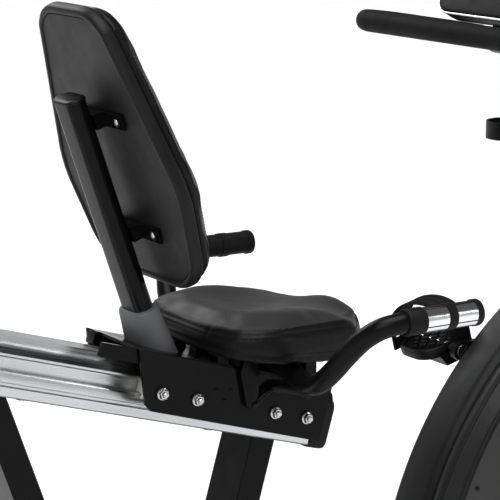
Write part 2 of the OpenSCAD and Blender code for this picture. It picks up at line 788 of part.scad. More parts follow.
// Right handle tube from the middle under the seat to the grip.
handle_side = [[-160, -95, 459], [-160, -130, 451], [-161, -165, 448], [-162, -195, 458],
    [-160, -222, 479], [-154, -246, 505], [-142, -267, 530], [-125, -285, 547],
    [-103, -296, 554], [-80, -grip_y, grip_z], [grip_front - 8, -grip_y, grip_z]];
handle_path = curve(concat([for (i = [len(handle_side) - 1 : -1 : 0]) handle_side[i]],
    [for (p = handle_side) flip_y(p)]), 3);
module seat_handlebar() color("#141415") sweep(handle_path, handle_r);

ring_r = pulse_r + 1;
sleeve_r = pulse_r - 1.4;
plate_edge = 3;
bands = [0, 11, 46, 60, 97, grip_len];
module on_grip() translate([grip_front, grip_y, grip_z]) rotate([0, -90, 0]) children();
// The outer side of the grip between two bands, where a pulse plate lies.
module plate_zone(b, r, edge) {
    translate([0, 0, bands[b]]) intersection() {
        difference() {
            cylinder(r = r, h = bands[b + 1] - bands[b]);
            translate([0, 0, -1]) cylinder(r = sleeve_r, h = grip_len);
        }
        translate([-30, edge, -1]) cube([60, 60, grip_len]);
    }
}
module grip_sleeves() {
    color("#1a1a1b") both_sides() on_grip() difference() {
        rotate_extrude() polygon([[0, 0], [ring_r - 3, 0], [ring_r, 3], [ring_r, bands[1]],
            [pulse_r, bands[1]], [pulse_r, bands[2]], [ring_r, bands[2]], [ring_r, bands[3]],
            [pulse_r, bands[3]], [pulse_r, bands[4]], [ring_r, bands[4]],
            [ring_r, bands[5] - 2], [ring_r - 2, bands[5]], [0, bands[5]]]);
        for (b = [1, 3]) plate_zone(b, ring_r + 1, plate_edge - 0.2);
        translate([0, 0, 7.5]) cylinder(r = handle_r + 0.3, h = grip_len);
    }
}
module pulse_plates() {
    color("#e6e8ea") both_sides() on_grip() for (b = [1, 3]) difference() {
        plate_zone(b, pulse_r, plate_edge);
        translate([-7, 0, grip_len / 2]) cube([1.6, 60, grip_len + 2], center = true);
    }
}

// ---- seat and backrest ----

// Half outline of the cushion in X and Y, drawn in by d: round rear corners, narrower nose.
function seat_outline(d) = let (w = seat_w / 2, half = concat(
    [[seat_len - d, 0]], arc(seat_len - 42, 18, 42 - d, 20, 52, 4),
    arc(seat_len - 96, w - 91, 60 - d, 40, 78, 5), arc(91, w - 100, 100 - d, 78, 140, 10),
    arc(60, 60, 60 - d, 146, 180, 5)))
    concat(half, [for (i = [len(half) - 1 : -1 : 1]) [half[i][0], -half[i][1]]]);
// Slope of the cushion's lower edge, which hangs round the pan.
skirt_drop = 4.2;
module seat_pan() {
    color("#1b1b1c") on_seat() linear_extrude(pan_t) polygon(seat_outline(26));
}
module seat_cushion() {
    color("#2b2b2c") on_seat() difference() {
        hull() {
            rotate([0, skirt_drop, 0]) linear_extrude(1) polygon(seat_outline(12));
            translate([0, 0, 14]) linear_extrude(seat_t - 16) polygon(seat_outline(0));
            translate([0, 0, seat_t + 6]) linear_extrude(4) polygon(seat_outline(38));
        }
        translate([0, 0, -30]) linear_extrude(pan_t + 30.2) polygon(seat_outline(25.5));
    }
}
// Half outline of the backrest in Y and Z, drawn in by d.
function back_outline(d) = mirrored(concat(
    arc(72, 78, 78 - d, -90, -14, 10), arc(back_w / 2 - 130, 150, 130 - d, -8, 24, 6),
    arc(38, back_h - 68, 68 - d, 32, 90, 8)));
module backrest_shell() {
    color("#333436") on_back() difference() {
        slab_yz(back_outline(0), shell_t);
        translate([-1, 0, 0]) slab_yz(back_outline(14), 4);
    }
}
module backrest_cushion() {
    color("#262627") on_back() translate([shell_t + 0.2, 0, 0]) hull() {
        slab_yz(back_outline(4), 2);
        translate([8, 0, 0]) slab_yz(back_outline(0), back_t - 20);
        translate([back_t + 4, 0, 0]) slab_yz(back_outline(48), 2);
    }
}
module below_deck() {
    on_rail() translate([-600, -150, -150]) cube([700, 300, 150 + deck_h]);
}
module post_bar(w, d, z0, z1) {
    on_back() translate([post_off, 0, z0]) linear_extrude(z1 - z0) polygon(stadium(w, d));
}
module seat_post() {
    color("#121213") difference() {
        post_bar(post_w, post_d, -150, post_top);
        post_bar(post_w - 6, post_d - 6, -60, post_top + 1);
        below_deck();
    }
}
module post_cap() {
    color("#1d1d1e") {
        post_bar(post_w + 2, post_d + 2, post_top, post_top + 5);
        post_bar(post_w - 6.4, post_d - 6.4, post_top - 14, post_top);
    }
}
boot_top = -26;
module post_boot() {
    color("#6e7072") difference() {
        hull() {
            post_bar(74, 42, boot_top - 3, boot_top);
            post_bar(76, 46, boot_top - 10, boot_top - 8);
            post_bar(96, 58, -130, -128);
        }
        post_bar(post_w + 0.4, post_d + 0.4, -160, boot_top + 1);
        below_deck();
    }
}
module backrest_brackets() {
    color("#101011") on_back() for (z = bracket_z) {
        difference() {
            union() {
                box(-3.2, 0, -bracket_y - 16, bracket_y + 16, z - bracket_h / 2, z + bracket_h / 2);
                box(post_off + post_d / 2, -3.2, -26, 26, z - bracket_h / 2, z + bracket_h / 2);
            }
            both_sides() translate([0, bracket_y, z]) cyl_x(3.5, -4, 1);
        }
    }
}

base_beam();
rear_stabilizer();
front_stabilizer();
stabilizer_caps();
leveler_right();
leveler_left();
transport_wheel_right();
transport_wheel_left();
rear_leg();
middle_leg();
seat_rail();
rail_end_caps();
frame_screws();
front_frame();
bearings();
mast();
mast_collar();
bottle_holder();
shroud_right();
shroud_left();
side_panels();
power_inlet();
brake_magnet();
drive_belt();
flywheel();
flywheel_axle();
crank_axle();
drive_pulley();
crank_arms();
pedal_spindles();
pedal_right();
pedal_left();
pedal_strap_right();
pedal_strap_left();
console_back();
console_bezel();
console_screen();
key_start();
key_stop();
key_up();
key_down();
front_handlebar();
handlebar_foam();
carriage_plates();
carriage_frame();
glide_blocks();
seat_bolts();
seat_lever();
lock_pad();
seat_handlebar();
grip_sleeves();
pulse_plates();
seat_pan();
seat_cushion();
seat_post();
post_cap();
post_boot();
backrest_brackets();
backrest_shell();
backrest_cushion();
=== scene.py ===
"""Looks of the recumbent exercise bike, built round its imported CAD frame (metres, +X forward, +Z up)."""

import json
import math

import bmesh
import bpy
from mathutils import Matrix, Vector
from mathutils.bvhtree import BVHTree

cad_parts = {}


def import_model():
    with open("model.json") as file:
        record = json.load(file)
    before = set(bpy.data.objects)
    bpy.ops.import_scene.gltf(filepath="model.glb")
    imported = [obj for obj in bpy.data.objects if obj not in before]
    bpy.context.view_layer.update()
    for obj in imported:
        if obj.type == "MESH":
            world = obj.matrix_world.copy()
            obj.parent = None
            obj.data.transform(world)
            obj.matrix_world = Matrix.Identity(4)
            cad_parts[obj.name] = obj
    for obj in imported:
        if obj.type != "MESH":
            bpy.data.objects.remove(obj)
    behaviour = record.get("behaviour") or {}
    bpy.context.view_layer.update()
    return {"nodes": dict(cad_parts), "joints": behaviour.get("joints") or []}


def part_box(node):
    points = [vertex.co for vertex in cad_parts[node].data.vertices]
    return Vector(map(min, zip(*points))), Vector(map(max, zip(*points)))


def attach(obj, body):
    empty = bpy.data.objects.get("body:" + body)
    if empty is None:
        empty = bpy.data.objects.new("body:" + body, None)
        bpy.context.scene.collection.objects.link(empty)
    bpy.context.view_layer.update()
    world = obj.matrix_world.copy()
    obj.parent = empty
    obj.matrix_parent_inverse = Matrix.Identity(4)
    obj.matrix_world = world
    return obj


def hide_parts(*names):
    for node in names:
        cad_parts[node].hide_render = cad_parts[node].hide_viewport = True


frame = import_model()
NODES = frame["nodes"]
MM = 0.001

# Slopes of the design, in degrees about Y, and the cover's outline, as in the CAD source.
RAIL_TILT = 16.3
SEAT_TILT = 4.0
BACK_TILT = -18.9
CONSOLE_TILT = 30.0
COVER_REAR = (760, -45, 634)
COVER_NOSE_R = 193.4
COVER_TURN = 112
COVER_FRONT_R = 700
COVER_SEAM_Y = -4
COVER_LINE_Y = -35
COVER_EDGE = 6
PEDAL_TILT = -15
STRAP_SKEW = 0.5


# ---- frames and outlines ----

class Tilt:
    """A frame turned about Y, in which a sloping part lies square."""

    def __init__(self, degrees):
        self.turn = Matrix.Rotation(math.radians(degrees), 4, "Y")
        self.back = self.turn.inverted()

    def box(self, *names):
        points = [self.back @ v.co for n in names for v in NODES[n].data.vertices]
        return (Vector([min(p[i] for p in points) for i in range(3)]),
                Vector([max(p[i] for p in points) for i in range(3)]))

    def place(self, points):
        return [self.turn @ Vector(p) for p in points]


RAIL = Tilt(RAIL_TILT)
SEAT = Tilt(SEAT_TILT)
BACK = Tilt(BACK_TILT)
CONSOLE = Tilt(CONSOLE_TILT)
# Upper front end of the rail, and the carriage bolts along and above it, in mm.
RAIL_START = RAIL.back @ Vector((-0.083, 0, 0.3174))
GRIP_Y, GRIP_Z = 297.5, 555
PLATE_BOLTS = ((-290, 45), (-231, 45), (-96, 45), (-40, 45))


def arc(cx, cy, r, a0, a1, n=12):
    steps = [math.radians(a0 + (a1 - a0) * i / n) for i in range(n + 1)]
    return [(cx + r * math.cos(a), cy + r * math.sin(a)) for a in steps]


def mirrored(points):
    return points + [(-a, b) for a, b in reversed(points)]


def curve(points, steps):
    """Smooth curve through chosen points (Catmull-Rom)."""
    p = [Vector(q) for q in points]
    out = []
    for i in range(len(p) - 1):
        a, b, c, d = p[max(i - 1, 0)], p[i], p[i + 1], p[min(i + 2, len(p) - 1)]
        for k in range(steps):
            t = k / steps
            out.append(0.5 * (2 * b + (c - a) * t + (2 * a - 5 * b + 4 * c - d) * t * t
                              + (3 * b - a - 3 * c + d) * t ** 3))
    return out + [p[-1]]


def bump_at(x, centre, width):
    return math.exp(-((x - centre) / width) ** 2)


def smooth_step(x, a, b):
    t = min(max((x - a) / (b - a), 0), 1)
    return t * t * (3 - 2 * t)


# ---- meshes ----

def new_piece(name, verts, faces, smooth_angle=40):
    """A mesh object with outward faces, smooth except across sharp edges."""
    mesh = bpy.data.meshes.new(name)
    mesh.from_pydata([tuple(v) for v in verts], [], faces)
    work = bmesh.new()
    work.from_mesh(mesh)
    bmesh.ops.recalc_face_normals(work, faces=work.faces)
    work.to_mesh(mesh)
    work.free()
    obj = bpy.data.objects.new(name, mesh)
    bpy.context.scene.collection.objects.link(obj)
    sharpen(obj, smooth_angle)
    return obj


def sharpen(obj, degrees):
    """Shades smooth, with an edge sharp where its faces meet at more than this angle."""
    work = bmesh.new()
    work.from_mesh(obj.data)
    limit = math.radians(degrees)
    for f in work.faces:
        f.smooth = True
    for e in work.edges:
        e.smooth = len(e.link_faces) == 2 and e.calc_face_angle(0) < limit
    work.to_mesh(obj.data)
    work.free()


def loft(rings, caps=True, closed=True):
    """Points and faces of a skin through rings of equal count."""
    n = len(rings[0])
    verts = [p for ring in rings for p in ring]
    faces = []
    for i in range(len(rings) - 1):
        for k in range(n if closed else n - 1):
            m = (k + 1) % n
            faces.append((i * n + k, i * n + m, (i + 1) * n + m, (i + 1) * n + k))
    if caps:
        faces.append(tuple(range(n)))
        faces.append(tuple((len(rings) - 1) * n + k for k in reversed(range(n))))
    return verts, faces


def tube_rings(path, radii, sides=28, stretch=(1, 1)):
    """Rings round a path, turned as little as possible from one to the next."""
    path = [Vector(p) for p in path]
    side = None
    rings = []
    for i, p in enumerate(path):
        t = (path[min(i + 1, len(path) - 1)] - path[max(i - 1, 0)]).normalized()
        if side is None:
            side = t.cross(Vector((0, 0, 1)) if abs(t.z) < 0.9 else Vector((0, 1, 0))).normalized()
        side = (side - t * side.dot(t)).normalized()
        up = t.cross(side)
        r = radii[i] if isinstance(radii, (list, tuple)) else radii
        rings.append([p + r * (math.cos(a) * side * stretch[0] + math.sin(a) * up * stretch[1])
                      for a in (2 * math.pi * k / sides for k in range(sides))])
    return rings


def join_parts(parts):
    """Several (points, faces) as one."""
    verts, faces = [], []
    for v, f in parts:
        base = len(verts)
        verts += list(v)
        faces += [tuple(i + base for i in face) for face in f]
    return verts, faces


def prism(outline, depth, to_point, rounding=0.0, steps=3):
    """An outline (a, b) given thickness, its edges rounded. to_point(a, b, c) gives the place."""
    cx = sum(p[0] for p in outline) / len(outline)
    cy = sum(p[1] for p in outline) / len(outline)
    half = max(math.hypot(p[0] - cx, p[1] - cy) for p in outline)
    rings = []
    for end in (0, 1):
        for k in range(steps + 1):
            a = math.pi / 2 * k / steps
            inset = rounding * (1 - math.sin(a)) if end == 0 else rounding * (1 - math.cos(a))
            along = rounding * (1 - math.cos(a)) if end == 0 else depth - rounding * (1 - math.sin(a))
            s = 1 - inset / half
            rings.append([to_point(cx + (x - cx) * s, cy + (y - cy) * s, along) for x, y in outline])
    return loft(rings)


def revolve(profile, place, sides=40):
    """A closed profile of (along, radius) turned about an axis. place(along, a, b) gives the point."""
    rings = []
    for along, r in profile:
        rings.append([place(along, r * math.cos(a), r * math.sin(a))
                      for a in (2 * math.pi * k / sides for k in range(sides))])
    return loft(rings)


def apply_modifiers(obj):
    graph = bpy.context.evaluated_depsgraph_get()
    mesh = bpy.data.meshes.new_from_object(obj.evaluated_get(graph))
    obj.modifiers.clear()
    old = obj.data
    obj.data = mesh
    bpy.data.meshes.remove(old)


def cut(obj, *tools):
    """Cuts other meshes out of this one, then removes them."""
    for tool in tools:
        m = obj.modifiers.new("cut", "BOOLEAN")
        m.operation, m.solver, m.object = "DIFFERENCE", "EXACT", tool
    apply_modifiers(obj)
    for tool in tools:
        bpy.data.objects.remove(tool)


def finish_piece(obj, body, slot, material, *replaced):
    obj.data.materials.clear()
    obj.data.materials.append(material)
    for f in obj.data.polygons:
        f.material_index = 0
    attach(obj, body)
    if replaced:
        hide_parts(*replaced)
    return obj


# ---- materials ----

def surface(name, color, rough, metallic=0.0, coat=0.0, tint=0.15, tint_scale=9.0, rough_var=0.06,
            grain=(), streaks=None, specular=0.5, cells=None):
    """Procedural material: mottled colour, uneven gloss and bump from grain, streaks or cells.

    grain is a list of (scale, height in mm); streaks (tilt, along, across, height in mm)."""
    mat = bpy.data.materials.new(name)
    mat.use_nodes = True
    tree = mat.node_tree
    make, link = tree.nodes.new, tree.links.new
    shader = tree.nodes["Principled BSDF"]
    shader.inputs["Metallic"].default_value = metallic
    shader.inputs["Coat Weight"].default_value = coat
    shader.inputs["Coat Roughness"].default_value = 0.06
    shader.inputs["Specular IOR Level"].default_value = specular
    where = make("ShaderNodeTexCoord").outputs["Object"]

    def noise(scale, detail=4.0, vector=where):
        n = make("ShaderNodeTexNoise")
        n.inputs["Scale"].default_value = scale
        n.inputs["Detail"].default_value = detail
        link(vector, n.inputs["Vector"])
        return n.outputs["Fac"]

    ramp = make("ShaderNodeValToRGB")
    ramp.color_ramp.elements[0].position, ramp.color_ramp.elements[1].position = 0.3, 0.7
    for element, k in zip(ramp.color_ramp.elements, (1 - tint, 1 + tint)):
        element.color = (*[min(c * k, 1) for c in color], 1)
    link(noise(tint_scale), ramp.inputs["Fac"])
    link(ramp.outputs["Color"], shader.inputs["Base Color"])

    spread = make("ShaderNodeMapRange")
    spread.inputs["From Min"].default_value, spread.inputs["From Max"].default_value = 0.3, 0.7
    spread.inputs["To Min"].default_value = max(rough - rough_var, 0.02)
    spread.inputs["To Max"].default_value = rough + rough_var
    source = noise(tint_scale * 4, 6.0)
    normal = None

    def bump(height, distance):
        nonlocal normal
        b = make("ShaderNodeBump")
        b.inputs["Distance"].default_value = distance * MM
        b.inputs["Strength"].default_value = 1.0
        link(height, b.inputs["Height"])
        if normal:
            link(normal, b.inputs["Normal"])
        normal = b.outputs["Normal"]

    if streaks:
        tilt, along, across, height = streaks
        lines = make("ShaderNodeMapping")
        lines.vector_type = "TEXTURE"
        lines.inputs["Rotation"].default_value = (0, math.radians(tilt), 0)
        lines.inputs["Scale"].default_value = (1 / along, 1 / across, 1 / across)
        link(where, lines.inputs["Vector"])
        fine = noise(1.0, 3.0, lines.outputs["Vector"])
        bump(fine, height)
        source = fine
    for scale, height in grain:
        bump(noise(scale, 3.0), height)
    if cells:
        scale, height = cells
        v = make("ShaderNodeTexVoronoi")
        v.feature = "DISTANCE_TO_EDGE"
        v.inputs["Scale"].default_value = scale
        link(where, v.inputs["Vector"])
        crease = make("ShaderNodeMapRange")
        crease.inputs["From Max"].default_value = 0.16
        link(v.outputs["Distance"], crease.inputs["Value"])
        bump(crease.outputs["Result"], height)
    link(source, spread.inputs["Value"])
    link(spread.outputs["Result"], shader.inputs["Roughness"])
    if normal:
        link(normal, shader.inputs["Normal"])
    return mat


def glowing(name, color, strength):
    mat = surface(name, color, 0.4)
    shader = mat.node_tree.nodes["Principled BSDF"]
    shader.inputs["Emission Color"].default_value = (*color, 1)
    shader.inputs["Emission Strength"].default_value = strength
    return mat


paint = surface("gloss_black_paint", (0.005, 0.005, 0.0052), 0.19, specular=0.16, grain=[(420, 0.015)])
satin = surface("satin_black_paint", (0.006, 0.006, 0.0062), 0.34, specular=0.18, grain=[(900, 0.02)])
alu = surface("brushed_aluminium", (0.56, 0.565, 0.575), 0.3, metallic=1, tint=0.05, rough_var=0.1,
              streaks=(RAIL_TILT, 3, 1400, 0.03))
# The seat top's vinyl is a lighter copy of the dark side vinyl below it: a painted top light, standing in for
# the overhead light falling on the top
vinyl = surface("seat_vinyl_painted_top_light", (0.036, 0.036, 0.0375), 0.42, tint=0.1, rough_var=0.05, specular=0.3,
                grain=[(260, 0.10)], cells=(760, 0.05))
vinyl_side = surface("side_vinyl", (0.0065, 0.0065, 0.0067), 0.38, tint=0.1, rough_var=0.05, specular=0.22,
                     grain=[(260, 0.10)], cells=(760, 0.05))
thread = surface("thread", (0.014, 0.014, 0.014), 0.7, specular=0.2, grain=[(2500, 0.1)])
shell_mat = surface("backrest_shell_vinyl", (0.0085, 0.0085, 0.0088), 0.42, tint=0.12, rough_var=0.05,
                    specular=0.3, grain=[(340, 0.06)], cells=(900, 0.05))
cover_mat = surface("cover_plastic", (0.0145, 0.0148, 0.0155), 0.42, specular=0.3,
                    grain=[(1300, 0.05), (60, 0.03)])
panel_mat = surface("panel_plastic", (0.048, 0.0485, 0.0475), 0.46, tint=0.08, specular=0.3,
                    grain=[(1300, 0.06)])
boot_mat = surface("boot_plastic", (0.15, 0.152, 0.156), 0.46, tint=0.08, specular=0.3,
                   grain=[(1100, 0.06)])
black_plastic = surface("black_plastic", (0.006, 0.006, 0.0064), 0.4, specular=0.26, grain=[(1000, 0.05)])
bezel_mat = surface("bezel_plastic", (0.009, 0.009, 0.010), 0.45, specular=0.15, grain=[(1500, 0.02)])
glass = surface("display_window", (0.003, 0.0035, 0.005), 0.08, specular=0.4, rough_var=0.03)
rubber = surface("rubber", (0.0075, 0.0075, 0.0078), 0.58, specular=0.25, grain=[(800, 0.12)])
foam = surface("foam_grip", (0.0095, 0.0095, 0.0098), 0.66, tint=0.2, specular=0.2,
               grain=[(520, 0.22), (1600, 0.1)])
belt_mat = surface("belt_rubber", (0.016, 0.016, 0.016), 0.66, grain=[(700, 0.1)])
chrome = surface("chrome", (0.78, 0.785, 0.79), 0.16, metallic=1, tint=0.03, rough_var=0.04,
                 streaks=(0, 4, 900, 0.004))
zinc = surface("zinc_steel", (0.52, 0.525, 0.53), 0.24, metallic=1, tint=0.1, rough_var=0.05,
               grain=[(300, 0.02)])
steel = surface("machined_steel", (0.42, 0.42, 0.43), 0.3, metallic=1, streaks=(0, 900, 900, 0.02))
iron = surface("turned_iron", (0.13, 0.13, 0.135), 0.42, metallic=0.9, grain=[(260, 0.15)])
brake_mat = surface("lacquered_core", (0.16, 0.085, 0.035), 0.4, coat=0.3, grain=[(300, 0.1)])
acetal = surface("acetal", (0.62, 0.62, 0.58), 0.4, tint=0.04, grain=[(900, 0.04)])
key_green = surface("key_green", (0.04, 0.22, 0.08), 0.35, grain=[(1200, 0.03)])
key_red = surface("key_red", (0.35, 0.025, 0.018), 0.35, grain=[(1200, 0.03)])
key_grey = surface("key_grey", (0.20, 0.205, 0.215), 0.38, grain=[(1200, 0.03)])
led_red = glowing("led_red", (0.9, 0.03, 0.01), 2.2)
led_white = glowing("led_white", (0.45, 0.65, 0.8), 0.9)

# CAD nodes whose shape stays: material and how far their edges are rounded, in mm.
KEPT = [
    (paint, 1.6, ["base_beam", "rear_stabilizer", "front_stabilizer", "rear_leg", "middle_leg",
                  "front_frame", "mast"]),
    (paint, 0.8, ["carriage_plates", "carriage_frame", "backrest_brackets"]),
    (satin, 1.2, ["crank_arms"]),
    (alu, 0.5, ["seat_rail"]),
    (rubber, 2.5, ["stabilizer_caps"]),
    (rubber, 1.2, ["leveler_right", "leveler_left", "lock_pad"]),
    (rubber, 1.5, ["transport_wheel_right", "transport_wheel_left"]),
    (zinc, 0.5, ["frame_screws", "pedal_spindles"]),
    (steel, 0.4, ["bearings", "flywheel_axle", "crank_axle"]),
    (cover_mat, 1.5, ["mast_collar"]),
    (black_plastic, 1.2, ["bottle_holder", "seat_pan"]),
    (black_plastic, 0.5, ["power_inlet"]),
    (black_plastic, 0.8, ["drive_pulley"]),
    (brake_mat, 1.0, ["brake_magnet"]),
    (belt_mat, 0.0, ["drive_belt"]),
    (iron, 1.0, ["flywheel"]),
    (paint, 1.0, ["seat_post"]),
    (acetal, 0.6, ["glide_blocks"]),
    (key_green, 0.8, ["key_start"]),
    (key_red, 0.8, ["key_stop"]),
    (key_grey, 0.8, ["key_up", "key_down"]),
]


def keep_node(name, material, rounding):
    obj = NODES[name]
    for s in obj.material_slots:
        s.material = material
    for f in obj.data.polygons:
        f.use_smooth = True
    obj.modifiers.new("weld", "WELD").merge_threshold = 0.00002
    flat = obj.modifiers.new("flat", "DECIMATE")
    flat.decimate_type, flat.angle_limit = "DISSOLVE", math.radians(1.2)
    if rounding:
        bevel = obj.modifiers.new("rounding", "BEVEL")
        bevel.width, bevel.segments = rounding * MM, 2
        bevel.limit_method, bevel.angle_limit = "ANGLE", math.radians(32)
        bevel.use_clamp_overlap = True
    obj.modifiers.new("normals", "WEIGHTED_NORMAL").keep_sharp = False


# ---- cushions ----

def inflate(obj, voxel, cap, pinned, settle=8):
    """Remeshes a closed form evenly and swells it as stuffed cloth. pinned(point) holds its base.
    settle is how often the creases are eased afterwards."""
    remesh = obj.modifiers.new("remesh", "REMESH")
    remesh.mode, remesh.voxel_size = "VOXEL", voxel
    soften = obj.modifiers.new("soften", "SMOOTH")
    soften.factor, soften.iterations = 0.5, 6
    apply_modifiers(obj)
    rest = [v.co.copy() for v in obj.data.vertices]
    group = obj.vertex_groups.new(name="base")
    group.add([i for i, p in enumerate(rest) if pinned(p)], 1.0, "REPLACE")
    cloth = obj.modifiers.new("cloth", "CLOTH")
    cloth.settings.quality = 4
    cloth.settings.use_pressure = True
    cloth.settings.uniform_pressure_force = 4.0
    cloth.settings.tension_stiffness = 12
    cloth.settings.compression_stiffness = 12
    cloth.settings.effector_weights.gravity = 0
    cloth.settings.vertex_group_mass = "base"
    cloth.point_cache.frame_start, cloth.point_cache.frame_end = 1, 20
    scene = bpy.context.scene
    for f in range(1, 21):
        scene.frame_set(f)
    graph = bpy.context.evaluated_depsgraph_get()
    moved = [v.co.copy() for v in obj.evaluated_get(graph).data.vertices]
    obj.modifiers.clear()
    scene.frame_set(1)
    for v, a, b in zip(obj.data.vertices, rest, moved):
        step = b - a
        far = step.length
        v.co = a + step * (min(far, cap) / far if far > 1e-9 else 0)
    calm = obj.modifiers.new("calm", "SMOOTH")
    calm.factor, calm.iterations = 0.5, settle
    finer = obj.modifiers.new("finer", "SUBSURF")
    finer.levels = 1
    apply_modifiers(obj)
    for f in obj.data.polygons:
        f.use_smooth = True


def lay_on(obj, path):
    """The path moved to the nearest points of the surface, with the normals there."""
    tree = BVHTree.FromObject(obj, bpy.context.evaluated_depsgraph_get())
    hits = [tree.find_nearest(Vector(p)) for p in path]
    return [h[0] for h in hits], [h[1] for h in hits]


def even_steps(path, pitch, closed):
    """Points along a path at an even pitch."""
    path = [Vector(p) for p in path] + ([Vector(path[0])] if closed else [])
    lengths = [0.0]
    for a, b in zip(path, path[1:]):
        lengths.append(lengths[-1] + (b - a).length)
    count = max(2, round(lengths[-1] / pitch))
    out, k = [], 0
    for i in range(count if closed else count + 1):
        s = lengths[-1] * i / count
        while k < len(path) - 2 and lengths[k + 1] < s:
            k += 1
        t = (s - lengths[k]) / max(lengths[k + 1] - lengths[k], 1e-9)
        out.append(path[k].lerp(path[k + 1], min(t, 1)))
    return out


def press_seam(obj, path, depth, width):
    """Pulls the surface in along a seam."""
    from mathutils.kdtree import KDTree
    points = even_steps(path, 0.0015, False)
    tree = KDTree(len(points))
    for i, p in enumerate(points):
        tree.insert(p, i)
    tree.balance()
    normals = [v.normal.copy() for v in obj.data.vertices]
    for v, n in zip(obj.data.vertices, normals):
        d = tree.find(v.co)[2]
        if d < 3 * width:
            v.co -= n * depth * bump_at(d, 0, width)
    obj.data.update()


def stitches(path, normals, pitch=0.0052, length=0.0034, r=0.0004, lift=0.0001):
    """Short threads along a path on a surface."""
    parts = []
    walk = even_steps(path, pitch, False)
    for a, b in zip(walk, walk[1:]):
        along = (b - a).normalized()
        near = min(range(len(path)), key=lambda i: (path[i] - a).length_squared)
        up = normals[near]
        mid = (a + b) / 2 + up * lift
        ends = [mid - along * length / 2, mid - along * length * 0.3, mid + along * length * 0.3,
                mid + along * length / 2]
        parts.append(loft(tube_rings(ends, [r * 0.45, r, r, r * 0.45], 6)))
    return join_parts(parts)


def offset_path(path, normals, sideways):
    """The path moved sideways along the surface."""
    out = []
    n = len(path)
    for i, (p, up) in enumerate(zip(path, normals)):
        along = (path[(i + 1) % n] - path[i - 1]).normalized()
        out.append(p + along.cross(up).normalized() * sideways)
    return out


def sewn_seam(name, cushion, path, body, slot, depth=0.0016, width=0.0035, rows=(-0.0045, 0.0045)):
    """A sewn seam round a cushion: a pressed line with a row of stitches on each side."""
    on, normals = lay_on(cushion, path)
    press_seam(cushion, on + [on[0]], depth, width)
    parts = []
    for side in rows:
        line, ups = lay_on(cushion, offset_path(on, normals, side))
        parts.append(stitches(line + [line[0]], ups + [ups[0]]))
    return finish_piece(new_piece(name, *join_parts(parts)), body, slot, thread)


def softened(points, times=2):
    """A closed outline with its corners cut back again and again (Chaikin)."""
    for _ in range(times):
        points = [tuple(a * k + b * (1 - k) for a, b in zip(p, q))
                  for p, q in zip(points, points[1:] + points[:1]) for k in (0.75, 0.25)]
    return points


def seat_outline(length, width, d):
    """Cushion outline in X and Y from its rear edge, drawn in by d, in mm."""
    w = width / 2
    half = ([(length - d, 0)] + arc(length - 42, 18, 42 - d, 20, 52, 4)
            + arc(length - 96, w - 91, 60 - d, 40, 78, 4) + arc(91, w - 100, 100 - d, 78, 140, 9)
            + arc(60, 60, 60 - d, 146, 180, 4))
    points = softened(half + [(x, -y) for x, y in reversed(half[1:])], 1)
    for _ in range(3):
        points = [tuple((a + 2 * b + c) / 4 for a, b, c in zip(p, q, r))
                  for p, q, r in zip(points[-1:] + points[:-1], points, points[1:] + points[:1])]
    return points


